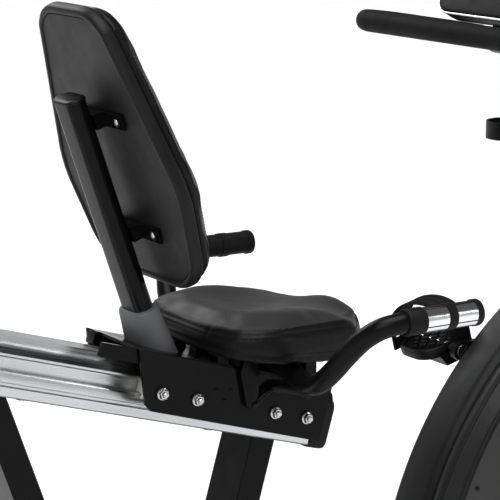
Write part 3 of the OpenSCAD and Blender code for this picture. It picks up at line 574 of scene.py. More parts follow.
def build_seat():
    """The seat cushion: a skirt round the pan, upright sides and a top with wings, a dish and a nose."""
    lo, hi = SEAT.box("seat_cushion")
    pan_lo, pan_hi = SEAT.box("seat_pan")
    length, width = (hi.x - lo.x) / MM, (hi.y - lo.y) / MM
    pan_top = (pan_hi.z - pan_lo.z) / MM

    def top_seam(x):
        return 39 + 5 * smooth_step(x, 0, 80) - 3 * bump_at(x, 262, 30) + 2 * smooth_step(x, 280, 306)

    def skirt(x):
        return -0.5 - 0.068 * x

    def lower_seam(x):
        return skirt(x) + 13

    def top_height(x, y):
        u, v = x / length, abs(y) / (width / 2)
        return (4 + 11 * bump_at(u, 0.42, 0.26) * bump_at(v, 0.66, 0.34) + 9 * bump_at(u, 0.1, 0.13)
                + 13 * bump_at(u, 0.95, 0.15) * bump_at(v, 0, 0.28)
                - 4 * bump_at(u, 0.84, 0.1) * bump_at(v, 0.62, 0.3))

    def ring(d, z):
        return [(x, y, z(x) if callable(z) else z) for x, y in seat_outline(length, width, d)]

    rings = [ring(45, pan_top + 1), ring(27, pan_top + 1)]
    for d, up in ((24, 4), (20, 1.2), (14, 0), (9, 0.6), (5.5, 3.4), (4, 7), (4, 11), (5.5, 14)):
        rings.append(ring(d, lambda x, up=up: skirt(x) + up))
    for d, part in ((6.5, 0.0), (5.2, 0.12), (4.2, 0.3), (4.0, 0.55), (4.6, 0.8), (6.2, 0.97)):
        rings.append(ring(d, lambda x, part=part: lower_seam(x) + (top_seam(x) - lower_seam(x)) * part))
    rim = seat_outline(length, width, 9)
    middle = length * 0.47
    for t in (1.0, 0.97, 0.93, 0.87, 0.8, 0.72, 0.62, 0.5, 0.38, 0.26, 0.14, 0.04):
        points = [(middle + (x - middle) * t, y * t, x) for x, y in rim]
        rings.append([(x, y, top_seam(x0) * t ** 2 + top_seam(middle) * (1 - t ** 2)
                       + 1 + top_height(x, y) * smooth_step(t, 1.0, 0.7)) for x, y, x0 in points])

    def world(p):
        return SEAT.turn @ (Vector((lo.x, 0, pan_lo.z)) + Vector(p) * MM)

    cushion = new_piece("seat_cushion_vinyl", *loft([[world(p) for p in r] for r in rings]))

    def held(p):
        q = (SEAT.back @ p - Vector((lo.x, 0, pan_lo.z))) / MM
        return q.z < skirt(q.x) + 5 or (q.z < pan_top + 3 and abs(q.x - middle) < length / 2 - 24
                                        and abs(q.y) < width / 2 - 24)

    inflate(cushion, 0.005, 0.004, held, settle=22)
    finish_piece(cushion, "seat", "vinyl", vinyl, "seat_cushion")
    # Faces below the top seam take the dark side vinyl, and the top keeps its lighter copy: painted top
    # light, not a second vinyl
    cushion.data.materials.append(vinyl_side)
    for f in cushion.data.polygons:
        p = (SEAT.back @ f.center - Vector((lo.x, 0, pan_lo.z))) / MM
        f.material_index = int(p.z < top_seam(p.x) + 1.5)
    lines = [("seat_top_seam", 1.5, top_seam, 0.0016, 0.0035, (0.0045,)),
             ("seat_side_stitching", -7, top_seam, 0.0008, 0.003, (0.0,)),
             ("seat_lower_seam", 0, lower_seam, 0.003, 0.0045, (-0.0045,))]
    for name, up, level, depth, wide, rows in lines:
        path = [world((x, y, level(x) + up)) for x, y in seat_outline(length, width, 2)]
        sewn_seam(name, cushion, path, "seat", "vinyl", depth, wide, rows)
    for k, (x, y) in enumerate(((4, width * 0.22), (length * 0.955, width * 0.17))):
        for side in (-1, 1):
            line = [world((x, side * y, z)) for z in range(-8, 44, 6)]
            on, ups = lay_on(cushion, line)
            press_seam(cushion, on, 0.0016, 0.003)
            row = new_piece("seat_side_seam_%d_%s" % (k, "right" if side < 0 else "left"),
                            *stitches(on, ups, lift=0.0))
            finish_piece(row, "seat", "vinyl", thread)


def back_outline(width, height, d):
    """Backrest outline in Y and Z from its lower edge, drawn in by d, in mm."""
    return mirrored(arc(72, 78, 78 - d, -90, -14, 14) + arc(width / 2 - 130, 150, 130 - d, -8, 24, 8)
                    + arc(38, height - 68, 68 - d, 32, 90, 12))


def build_backrest():
    lo, hi = BACK.box("backrest_shell")
    width, height = (hi.y - lo.y) / MM, (hi.z - lo.z) / MM
    deep = (hi.x - lo.x) / MM
    centre = (0, height * 0.46)

    def world(x, y, z):
        return BACK.turn @ (Vector((lo.x, 0, lo.z)) + Vector((x, y, z)) * MM)

    def ring(x, d):
        return [world(x, y, z) for y, z in back_outline(width, height, d)]

    def inner(x, d, t):
        return [world(x, centre[0] + (y - centre[0]) * t, centre[1] + (z - centre[1]) * t)
                for y, z in back_outline(width, height, d)]

    rim = [(2.2, 11.6), (0.9, 10.4), (0.2, 8.8), (0.2, 6.2), (0.8, 3.8), (2.4, 1.8), (5, 0.7), (9, 0.1),
           (13, 0), (deep - 2, 0.3), (deep, 2)]
    rings = [inner(2.4 - 2.2 * (1 - t) ** 0.8, 13, t) for t in (0.02, 0.2, 0.4, 0.6, 0.75, 0.88, 0.96, 1.0)]
    rings += [ring(3.4, 12.3)] + [ring(x, d) for x, d in rim]
    shell = new_piece("backrest_shell_moulded", *loft(rings), smooth_angle=50)
    finish_piece(shell, "seat", "shell_plastic", shell_mat, "backrest_shell")

    clo, chi = BACK.box("backrest_cushion")
    thick = (chi.x - clo.x) / MM
    start = (clo.x - lo.x) / MM

    def front(t, z):
        """Height of the front panel above its seam: a crown with lumbar and shoulder rolls."""
        v = z / height
        return ((thick - 20) * (1 - t ** 3.2) * 0.62 + 6 * bump_at(v, 0.3, 0.16) * (1 - t ** 4)
                + 4 * bump_at(v, 0.82, 0.12) * (1 - t ** 4))

    side = [(0.6, 12), (0.4, 7), (2.0, 3.4), (6, 2.4), (12, 2.6), (17, 4.6), (19.5, 7.6)]
    rings = [[world(start + 0.8, y * 0.86, centre[1] + (z - centre[1]) * 0.86)
              for y, z in back_outline(width, height, 12)]]
    rings += [ring(start + x, d) for x, d in side]
    for t in (0.985, 0.95, 0.9, 0.82, 0.72, 0.6, 0.46, 0.32, 0.18, 0.05):
        points = [(y * t, centre[1] + (z - centre[1]) * t) for y, z in back_outline(width, height, 9)]
        rings.append([world(start + 20 + front(t, z), y, z) for y, z in points])
    cushion = new_piece("backrest_cushion_vinyl", *loft(rings))
    base = clo.x + 2.2 * MM
    inflate(cushion, 0.005, 0.006, lambda p: (BACK.back @ p).x < base)
    finish_piece(cushion, "seat", "vinyl", vinyl_side, "backrest_cushion")
    seam = [world(start + 18.5, y, z) for y, z in back_outline(width, height, 3)]
    sewn_seam("backrest_front_seam", cushion, seam, "seat", "vinyl", rows=(-0.004, 0.0045))
    panel = [world(start + thick, y * 0.72, centre[1] + (z - centre[1]) * 0.74)
             for y, z in back_outline(width, height, 12)]
    sewn_seam("backrest_panel_seam", cushion, panel, "seat", "vinyl", depth=0.0035, width=0.006,
              rows=(0.0,))


# ---- tubes, grips and lever ----

SLOTS = {"grip_sleeves": "foam_grip", "pulse_plates": "chrome"}

def flip_y(p):
    return (p[0], -p[1], p[2])


def build_seat_handle():
    """The bent tube under the seat, through the same chosen points as its CAD solid, in mm."""
    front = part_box("seat_handlebar")[1].x / MM
    side = [(-160, -95, 459), (-160, -130, 451), (-161, -165, 448), (-162, -195, 458), (-160, -222, 479),
            (-154, -246, 505), (-142, -267, 530), (-125, -285, 547), (-103, -296, 554),
            (-80, -GRIP_Y, GRIP_Z), (front, -GRIP_Y, GRIP_Z)]
    path = curve(list(reversed(side)) + [flip_y(p) for p in side], 8)
    tube = new_piece("seat_handle_tube", *loft(tube_rings([p * MM for p in path], 15 * MM, 32)))
    finish_piece(tube, "seat", "gloss_black", satin, "seat_handlebar")


def build_grips():
    """Rubber sleeves with raised rings, and a split bright plate on the outer side of each band."""
    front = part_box("grip_sleeves")[1].x
    bands = [0, 11, 46, 60, 97, 126]
    ring_r, plate_r, sleeve_r = 19, 18, 17.5
    for side in (-1, 1):
        def at(along, a, b, side=side):
            """A place back from the grip's front end, outward of its axis and above it, in mm."""
            return Vector((front - along * MM, side * (GRIP_Y + a) * MM, (GRIP_Z + b) * MM))

        profile = [(0, 12), (0, 16), (0.9, 18.1), (3, ring_r)]
        for k in (1, 3):
            profile += [(bands[k] - 0.5, ring_r), (bands[k], ring_r - 0.5), (bands[k], sleeve_r),
                        (bands[k + 1], sleeve_r), (bands[k + 1], ring_r - 0.5), (bands[k + 1] + 0.5, ring_r)]
        profile += [(bands[5] - 2, ring_r), (bands[5] - 0.5, 18.2), (bands[5], 17), (bands[5], 15.1)]
        label = "left" if side > 0 else "right"
        sleeve = new_piece("grip_sleeve_" + label, *revolve(profile, at, 64))
        finish_piece(sleeve, "seat", SLOTS["grip_sleeves"], rubber, *(["grip_sleeves"] if side > 0 else []))
        plates = []
        for k in (1, 3):
            for first, last in ((-20, 80), (-80, -26)):
                rings = []
                for along, r in ((bands[k] + 0.2, plate_r - 0.5), (bands[k] + 0.6, plate_r + 0.2),
                                 (bands[k + 1] - 0.6, plate_r + 0.2), (bands[k + 1] - 0.2, plate_r - 0.5)):
                    outer, inner = arc(0, 0, r, first, last, 24), arc(0, 0, 16.2, last, first, 24)
                    rings.append([at(along, a, b) for a, b in outer + inner])
                plates.append(loft(rings))
        plate = new_piece("pulse_plate_" + label, *join_parts(plates), smooth_angle=40)
        finish_piece(plate, "seat", SLOTS["pulse_plates"], chrome, *(["pulse_plates"] if side > 0 else []))


def build_bar_plugs():
    """Plastic plugs in the open rear ends of the carriage's side bars."""
    parts = []
    for side in (-1, 1):
        outline = [(50.5, 81.5), (72.5, 81.5), (72.5, 98.5), (50.5, 98.5)]
        parts.append(prism(outline, 6, lambda a, b, c, side=side: RAIL.turn @ Vector(
            (RAIL_START.x - (336 + c) * MM, side * a * MM, RAIL_START.z + b * MM)), rounding=1.2))
    finish_piece(new_piece("bar_plugs", *join_parts(parts)), "seat", "black_plastic", black_plastic)


def build_front_loop():
    """The hand loop and its foam, through the same chosen points as the CAD solids, in mm."""
    side = [(318, 36.3, 890), (318, 41, 890), (318, 48, 890), (309, 66, 891), (294, 98, 894),
            (259, 144, 900), (224, 183, 906), (199, 201, 909), (183, 195, 911),
            (174, 174, 912), (172, 142, 912)]
    path = [p * MM for p in curve(side + [flip_y(p) for p in reversed(side)], 9)]
    bar = new_piece("front_loop_tube", *loft(tube_rings(path, 12.5 * MM, 28)))
    finish_piece(bar, "root", "gloss_black", satin, "front_handlebar")
    skip = 27
    inner = path[skip:-skip]
    rings = tube_rings(inner, 17 * MM, 32)
    ends = [tube_rings(inner, r, 32) for r in (12.8 * MM, 15.6 * MM, 16.7 * MM)]
    step = (inner[1] - inner[0]).normalized() * 0.0012
    first = [[p - step * k for p in e[0]] for e, k in zip(ends, (1.6, 1.4, 0.8))]
    step = (inner[-1] - inner[-2]).normalized() * 0.0012
    last = [[p + step * k for p in e[-1]] for e, k in zip(ends, (1.6, 1.4, 0.8))]
    sleeve = new_piece("front_loop_foam", *loft(first + rings + list(reversed(last))))
    finish_piece(sleeve, "root", "foam_grip", foam, "handlebar_foam")


def build_lever():
    shaft_end = RAIL.box("seat_lever")[1].y
    plate_side = RAIL.box("carriage_plates")[0].y
    joint = next(j for j in frame["joints"] if j["name"] == "lever_pull")
    pivot = RAIL.back @ Vector(joint["pos_m"])

    def at(x, y, z):
        """A place from the pivot forward, from the plate outward and from the pivot up, in mm."""
        return RAIL.turn @ Vector((pivot.x + x * MM, plate_side - y * MM, pivot.z + z * MM))

    shaft = loft(tube_rings([at(0, 4, 0), RAIL.turn @ Vector((pivot.x, shaft_end, pivot.z))], 6 * MM, 28))
    outline = [(-16, 8), (8, 8), (26, -57), (23, -62), (17, -63), (6, -59), (-17, -14)]
    plate = prism(outline, 4, lambda a, b, c: at(a, 4 + c, b), rounding=0.9)
    bend = curve([(14, 6, -56), (22, 6, -52), (34, 9, -34), (44, 12, -26), (62, 17, -23), (84, 26, -23)], 6)
    rod = loft(tube_rings([at(*p) for p in bend], 4.6 * MM, 20))
    grip_path = curve([(40, 11, -29), (44, 12, -26), (54, 15, -24), (66, 19, -23.5), (78, 24, -23),
                       (86, 27.5, -23), (92, 30, -23), (96, 31.5, -23)], 3)
    sizes = curve([(4.8, 0, 0), (6.2, 0, 0), (7.4, 0, 0), (7.2, 0, 0), (8.2, 0, 0), (10, 0, 0),
                   (8.4, 0, 0), (2.0, 0, 0)], 3)
    grip = loft(tube_rings([at(*p) for p in grip_path], [s.x * MM for s in sizes], 24))
    steel_parts = new_piece("lever_arm", *join_parts([shaft, plate, rod]))
    finish_piece(steel_parts, "lever", "gloss_black", paint, "seat_lever")
    finish_piece(new_piece("lever_grip", *grip), "lever", "black_plastic", black_plastic)


def build_post():
    """The flared foot cover of the backrest post, cut off at the carriage deck, and the post's cap."""
    boot_top = BACK.box("post_boot")[1].z
    plo, phi = BACK.box("seat_post")
    mid = (plo.x + phi.x) / 2
    deck = min((RAIL.back @ v.co).z for v in NODES["post_boot"].data.vertices)
    along = [(RAIL.back @ v.co).x for v in NODES["post_boot"].data.vertices]
    w, d = phi.y - plo.y, phi.x - plo.x

    def stadium(wide, deep, n=14):
        h = (wide - deep) / 2
        return arc(0, h, deep / 2, 0, 180, n) + arc(0, -h, deep / 2, 180, 360, n)

    def ring(z, grow_w, grow_d):
        return [BACK.turn @ Vector((mid + x, y, z))
                for x, y in stadium(w + 2 * grow_w * MM, d + 2 * grow_d * MM)]

    shape = [(2.5, 0.2, 0.2), (2.0, 2.0, 2.0), (1.2, 4.2, 3.8), (0, 5.8, 5.0), (-1.8, 6.6, 5.6),
             (-4.5, 7.2, 6.2), (-25, 9.6, 8.0), (-50, 12.4, 10.2), (-80, 15.6, 12.6), (-110, 18.6, 15)]
    boot = new_piece("post_boot_moulded", *loft([ring(boot_top + (z - 2.5) * MM, a, b) for z, a, b in shape]))
    slab = prism([(min(along) - 0.1, -0.2), (max(along) + 0.1, -0.2), (max(along) + 0.1, 0.2),
                  (min(along) - 0.1, 0.2)], 0.3, lambda a, b, c: RAIL.turn @ Vector((a, b, deck - 0.3 + c)))
    cut(boot, new_piece("below_deck", *slab))
    sharpen(boot, 50)
    finish_piece(boot, "seat", "boot_plastic", boot_mat, "post_boot")
    top = BACK.box("post_cap")[1].z
    cap_shape = [(-14, -3.3, -3.3), (-5.2, -3.3, -3.3), (-5.1, 0.8, 0.8), (-2.5, 1.1, 1.1),
                 (-0.9, 0.5, 0.5), (0, -1.4, -1.4), (0.1, -8, -8)]
    cap = new_piece("post_cap_moulded", *loft([ring(top + z * MM, a, b) for z, a, b in cap_shape]),
                    smooth_angle=60)
    finish_piece(cap, "seat", "black_plastic", black_plastic, "post_cap")


def build_rail_caps():
    """A domed bumper at the rail's front end and a plain cap at its rear."""
    lo, hi = RAIL.box("rail_end_caps")
    rlo, rhi = RAIL.box("seat_rail")
    half = (hi.y - lo.y) / 2 / MM
    tall = (hi.z - lo.z) / MM
    outline = mirrored([(half - 9, 0)] + arc(half - 8, 8, 7.5, -80, 0, 5) + [(half, 30)]
                       + arc(half - 16, tall - 26, 16, 0, 62, 6) + arc(half - 22, tall - 12, 12, 40, 90, 5))

    def bumper(sign, start, depth, dome):
        rings = []
        for t, s in ((0, 1.0), (0.5, 1.0), (0.72, 0.995), (0.86, 0.97), (0.95, 0.92), (1.0, 0.83)):
            x = start + sign * depth * t
            k = s if dome else 1 - (1 - s) * 0.25
            rings.append([RAIL.turn @ Vector((x, y * k * MM, lo.z + (tall / 2 + (z - tall / 2) * k) * MM))
                          for y, z in outline])
        return loft(rings)

    parts = [bumper(1, rhi.x, hi.x - rhi.x + 10 * MM, True), bumper(-1, rlo.x, rlo.x - lo.x, False)]
    caps = new_piece("rail_bumpers", *join_parts(parts), smooth_angle=50)
    finish_piece(caps, "root", "black_plastic", black_plastic, "rail_end_caps")


# ---- pedals ----

def build_pedal(side):
    """One pedal with its tread and foot strap. side is 1 for left."""
    name = "left" if side > 0 else "right"
    joint = next(j for j in frame["joints"] if j["name"] == "pedal_%s_spin" % name)
    centre = Vector(joint["pos_m"])
    turn = Matrix.Rotation(math.radians(PEDAL_TILT), 3, "Y")
    strap_box = tilted_box(turn, centre, "pedal_strap_" + name)
    body_box = tilted_box(turn, centre, "pedal_" + name)
    half_y = (body_box[1].y - body_box[0].y) / 2 / MM

    def at(x, y, z):
        return centre + turn @ Vector((x, side * y, z)) * MM

    def bar(x0, x1, y0, y1, z0, z1, r=1.2):
        return prism([(x0, z0), (x1, z0), (x1, z1), (x0, z1)], y1 - y0,
                     lambda a, b, c: at(a, y0 + c, b), rounding=r, steps=2)

    rounded = arc(20, 10, half_y - 10, 0, 90, 8) + arc(-20, 12, half_y - 12, 90, 180, 8)
    outline = rounded + [(x, -y) for x, y in reversed(rounded)]
    parts = [prism(outline, 14, lambda a, b, c: at(a, b, -7 + c), rounding=3.5)]
    wedge = [(-30, -4), (-20, -13), (-13, -28), (28, -28), (42, -12), (46, -4)]
    parts.append(prism(wedge, 2 * half_y - 22, lambda a, b, c: at(a, c - half_y + 4, b), rounding=3))
    parts.append(bar(-14, 14, -half_y, -half_y + 8, -14, 11, 2))

    def inside(x, y, shrink=4.5):
        for cx, cy, r in ((20, 10, half_y - 10), (-20, 12, half_y - 12)):
            if abs(y) <= cy and abs(x) <= abs(cx) + r - shrink and x * cx > 0:
                return True
            if math.hypot(x - cx, abs(y) - cy) <= r - shrink:
                return True
        return abs(x) <= 20 and abs(y) <= half_y - shrink

    pitch, block = 10.6, 7.4
    for i in range(-9, 10):
        for k in range(-9, 10):
            x, y = i * pitch, k * pitch
            if (i + k) % 2 == 0 and inside(x, y, 11):
                diamond = [(x - block, y), (x, y - block), (x + block, y), (x, y + block)]
                parts.append(prism(diamond, 4.3, lambda a, b, c: at(a, b, 6.2 + c), rounding=0.8, steps=2))
    border = [(x * 0.94, y * 0.92) for x, y in outline]
    loop = [at(x, y, 7.4) for x, y in border + border[:1]]
    parts.append(loft(tube_rings(loop, 3.0 * MM, 8)))
    pedal = new_piece("pedal_body_" + name, *join_parts(parts))
    finish_piece(pedal, "pedal_" + name, "black_plastic", black_plastic, "pedal_" + name)

    top = strap_box[1].z / MM
    wide = strap_box[1].y / MM
    x0, x1 = strap_box[0].x / MM + STRAP_SKEW * wide, strap_box[1].x / MM - STRAP_SKEW * wide

    def askew(x, y, z):
        return at(x - STRAP_SKEW * y, y, z)

    inner = [(-wide + 1.5, -5), (-wide + 1.5, 12)] + [
        ((wide - 1.5) * -math.cos(a), 12 + (top - 13.5) * math.sin(a) ** 0.66)
        for a in (math.pi * i / 24 for i in range(1, 24))] + [(wide - 1.5, 12), (wide - 1.5, -5)]
    path = curve([(0, y, z) for y, z in inner], 2)
    bands = []
    ribs = [(x0, x1, 1.2), (x0 + 3, x0 + 8, 2.2), (x1 - 8, x1 - 3, 2.2),
            ((x0 + x1) / 2 - 2, (x0 + x1) / 2 + 2, 2.0)]
    for a, b, thick in ribs:
        rings = []
        for i, q in enumerate(path):
            t = (path[min(i + 1, len(path) - 1)] - path[max(i - 1, 0)]).normalized()
            out = Vector((t.z, -t.y)) * -1
            if out.dot(Vector((q.y, q.z - 10))) < 0:
                out = -out
            if thick > 1.6 and q.z < 38:
                continue
            rings.append([askew(x, q.y + out.x * o, q.z + out.y * o)
                          for x, o in ((a, -1.5), (b, -1.5), (b, thick - 0.3), (b - 0.4, thick),
                                       (a + 0.4, thick), (a, thick - 0.3))])
        bands.append(loft(rings))
    strap = new_piece("foot_strap_" + name, *join_parts(bands[:1]))
    slots = [(x0 + 8, 17.5), (x0 + 24, 17.5), (x0 + 16, 29)]
    tools = [new_piece("slot", *bar(x - STRAP_SKEW * wide, x + 9 - STRAP_SKEW * wide, wide - 8, wide + 8,
                                        z - 2.6, z + 2.6, 0.8)) for x, z in slots]
    bore = [(-wide - 6, 8.5), (-wide + 6, 8.5)]
    tools.append(new_piece("bore", *revolve(bore, lambda c, a, b: at(a, c, b))))
    cut(strap, *tools)
    sharpen(strap, 40)
    finish_piece(strap, "pedal_" + name, "strap", rubber, "pedal_strap_" + name)
    finish_piece(new_piece("strap_ribs_" + name, *join_parts(bands[1:])), "pedal_" + name, "strap", rubber)


def tilted_box(turn, centre, node):
    """The node's box about a centre, in a frame turned with it."""
    points = [turn.inverted() @ (v.co - centre) for v in NODES[node].data.vertices]
    return (Vector([min(p[i] for p in points) for i in range(3)]),
            Vector([max(p[i] for p in points) for i in range(3)]))


# ---- drive cover ----

def cover_outline(d, low):
    """The cover's outline in X and Z, drawn in by d, in mm, from its rear foot over to its front foot."""
    cx, cz, r = COVER_REAR
    turn = math.radians(COVER_TURN)
    nx = cx + (r - COVER_NOSE_R) * math.cos(turn)
    nz = cz + (r - COVER_NOSE_R) * math.sin(turn)
    fx = nx + COVER_NOSE_R - COVER_FRONT_R
    rear = 180 - math.degrees(math.asin((low - cz) / (r - d)))
    front = math.degrees(math.asin((low - nz) / (COVER_FRONT_R - d)))
    return (arc(cx, cz, r - d, rear, COVER_TURN, 60) + arc(nx, nz, COVER_NOSE_R - d, COVER_TURN - 4, 0, 44)
            + arc(fx, nz, COVER_FRONT_R - d, -1, front, 26))


def tool_y(x, z, r, y0, y1):
    profile = [(y0, r), (y1, r)]
    return new_piece("tool", *revolve(profile, lambda c, a, b: Vector((x + a, c, z + b)), 48))


def build_cover():
    lo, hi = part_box("shroud_left")
    low = lo.z / MM
    half = hi.y / MM
    crank = next(j for j in frame["joints"] if j["name"] == "crank_spin")["pos_m"]
    beam_lo, beam_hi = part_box("base_beam")

    def edge(y):
        """How far the rim is drawn in at y: rounded flanks, a soft valley and a thin styling line."""
        out = half - abs(y)
        d = COVER_EDGE * (1 - math.sqrt(max(0, 1 - (1 - min(out, COVER_EDGE) / COVER_EDGE) ** 2)))
        crown = 2.6 * (1 - bump_at(y, 42, 26)) if y > COVER_SEAM_Y else 2.6
        valley = 7.0 * bump_at(y, COVER_SEAM_Y, 8)
        line = 3.4 * bump_at(y, COVER_LINE_Y, 1.7)
        ridge = -1.2 * bump_at(y, COVER_LINE_Y + 11, 6)
        return d + crown + valley + line + ridge

    rim = [55, 62, 66, 70, 72.5, 74.5, 76, 77, 77.7, 78]
    near_seam = (0.35, 0.7, 2, 4, 6.5, 9.5, 13)
    stations = {"left": [COVER_SEAM_Y + v for v in near_seam] + [14, 20, 27, 34, 41, 48] + rim,
                "right": [COVER_SEAM_Y - v for v in near_seam] + [-22, -26, -30, -32, -33.4, -34.3, -35,
                                                                  -35.7, -36.6, -38, -41, -46, -50]
                + [-v for v in rim]}
    for name, ys in stations.items():
        rings = []
        for i, y in enumerate(ys):
            extra = 2.2 if i == 0 else 0
            rings.append([Vector((x, y, z)) * MM for x, z in cover_outline(edge(y) + extra, low)])
        verts, faces = loft(rings, caps=False, closed=False)
        n = len(rings[0])
        faces.append(tuple(len(verts) - n + k for k in range(n)))
        shell = new_piece("drive_cover_" + name, verts, faces)
        outward = 1 if name == "left" else -1
        if sum(f.normal.y * outward for f in shell.data.polygons if len(f.vertices) > 4) < 0:
            shell.data.flip_normals()
        wall = shell.modifiers.new("wall", "SOLIDIFY")
        wall.thickness, wall.offset = 2.6 * MM, -1
        apply_modifiers(shell)
        y_far = 0.1 if name == "left" else -0.1
        tools = [tool_y(crank[0], crank[2], 24 * MM, 0.06 * (1 if name == "left" else -1), y_far)]
        beam = [(beam_lo.y - MM, low * MM - MM), (beam_hi.y + MM, low * MM - MM),
                (beam_hi.y + MM, beam_hi.z + MM), (beam_lo.y - MM, beam_hi.z + MM)]
        tools.append(new_piece("slot", *prism(beam, 0.5, lambda a, b, c: Vector((0.05 + c, a, b)))))
        tools.append(mast_tool(10.5))
        if name == "left":
            ilo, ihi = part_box("power_inlet")
            mid = (ilo + ihi) / 2
            ring = [(0.02, 9 * MM), (0.08, 9 * MM)]
            tools.append(new_piece("hole", *revolve(
                ring, lambda c, a, b: Vector((0.7 + c, mid.y + a, mid.z + b)))))
        cut(shell, *tools)
        sharpen(shell, 42)
        finish_piece(shell, "root", "cover_plastic", cover_mat, "shroud_" + name)

    panels = []
    for side in (-1, 1):
        layers = [(78, 8.2), (80.2, 8.2), (80.8, 8.9), (81, 10), (81, 13), (80.4, 14), (80.4, 15.5),
                  (80.7, 17)]
        rings = [[Vector((x, side * y, z)) * MM for x, z in cover_outline(d, low)] for y, d in layers]
        panel = new_piece("side_panel_%s" % ("left" if side > 0 else "right"), *loft(rings), smooth_angle=30)
        cut(panel, tool_y(crank[0], crank[2], 24 * MM, side * 0.07, side * 0.09))
        sharpen(panel, 30)
        panels.append(panel)
    for i, panel in enumerate(panels):
        finish_piece(panel, "root", "panel_plastic", panel_mat, *(["side_panels"] if i == 0 else []))
    trims = []
    for side in (-1, 1):
        place = lambda c, a, b, s=side: Vector((crank[0] + a, s * c, crank[2] + b))
        ring = [(0.0795, 0.0225), (0.0795, 0.033), (0.0818, 0.033), (0.0828, 0.031), (0.0828, 0.0265),
                (0.082, 0.0225)]
        verts, faces = revolve(ring, place, 56)
        n = 56
        end = (len(ring) - 1) * n
        faces = faces[:-2] + [(k, (k + 1) % n, end + (k + 1) % n, end + k) for k in range(n)]
        trims.append((verts, faces))
    finish_piece(new_piece("crank_trim_rings", *join_parts(trims)), "root", "cover_plastic", cover_mat)


def mast_tool(grow):
    """A prism along the mast, grow mm larger than its section."""
    lo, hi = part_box("mast_collar")
    crank = next(j for j in frame["joints"] if j["name"] == "crank_spin")["pos_m"]
    axle = Vector((crank[0], 0, crank[2]))
    top = (lo + hi) / 2
    direction = Vector((top.x - axle.x, 0, top.z - axle.z)).normalized()
    across = Vector((direction.z, 0, -direction.x))
    h = 5
    outline = arc(h, 0, 25 + grow, -90, 90, 16) + arc(-h, 0, 25 + grow, 90, 270, 16)
    return new_piece("mast_hole", *prism(outline, 0.24, lambda a, b, c: axle + across * a * MM
                                         + Vector((0, b * MM, 0)) + direction * (0.06 + c)))


# ---- console ----

SEGMENTS = {"0": "abcdef", "1": "bc", "2": "abged", "3": "abgcd", "4": "fgbc", "5": "afgcd",
            "6": "afgedc", "7": "abc", "8": "abcdefg", "9": "abcfgd"}


def digit_bars(text, at, y, z, tall):
    """Seven-segment digits as thin bars. at(y, z) gives a place on the display."""
    parts = []
    wide, thick, gap = tall * 0.5, tall * 0.09, tall * 0.34
    ends = {"a": ((0, 1), (1, 1)), "g": ((0, 0.5), (1, 0.5)), "d": ((0, 0), (1, 0)),
            "f": ((0, 0.5), (0, 1)), "b": ((1, 0.5), (1, 1)), "e": ((0, 0), (0, 0.5)),
            "c": ((1, 0), (1, 0.5))}
    for i, digit in enumerate(text):
        if digit not in SEGMENTS:
            continue
        y0 = y - i * (wide + gap)
        for s in SEGMENTS[digit]:
            (a0, b0), (a1, b1) = ends[s]
            p = at(y0 - a0 * wide, z + b0 * tall)
            q = at(y0 - a1 * wide, z + b1 * tall)
            p, q = p.lerp(q, 0.14), q.lerp(p, 0.14)
            parts.append(loft(tube_rings([p, q], thick * MM, 6)))
    return join_parts(parts)


def console_outline(tall, d):
    return mirrored(arc(88, 34, 34 - d, -90, -12, 10) + arc(128, tall - 40, 40 - d, -12, 90, 14))


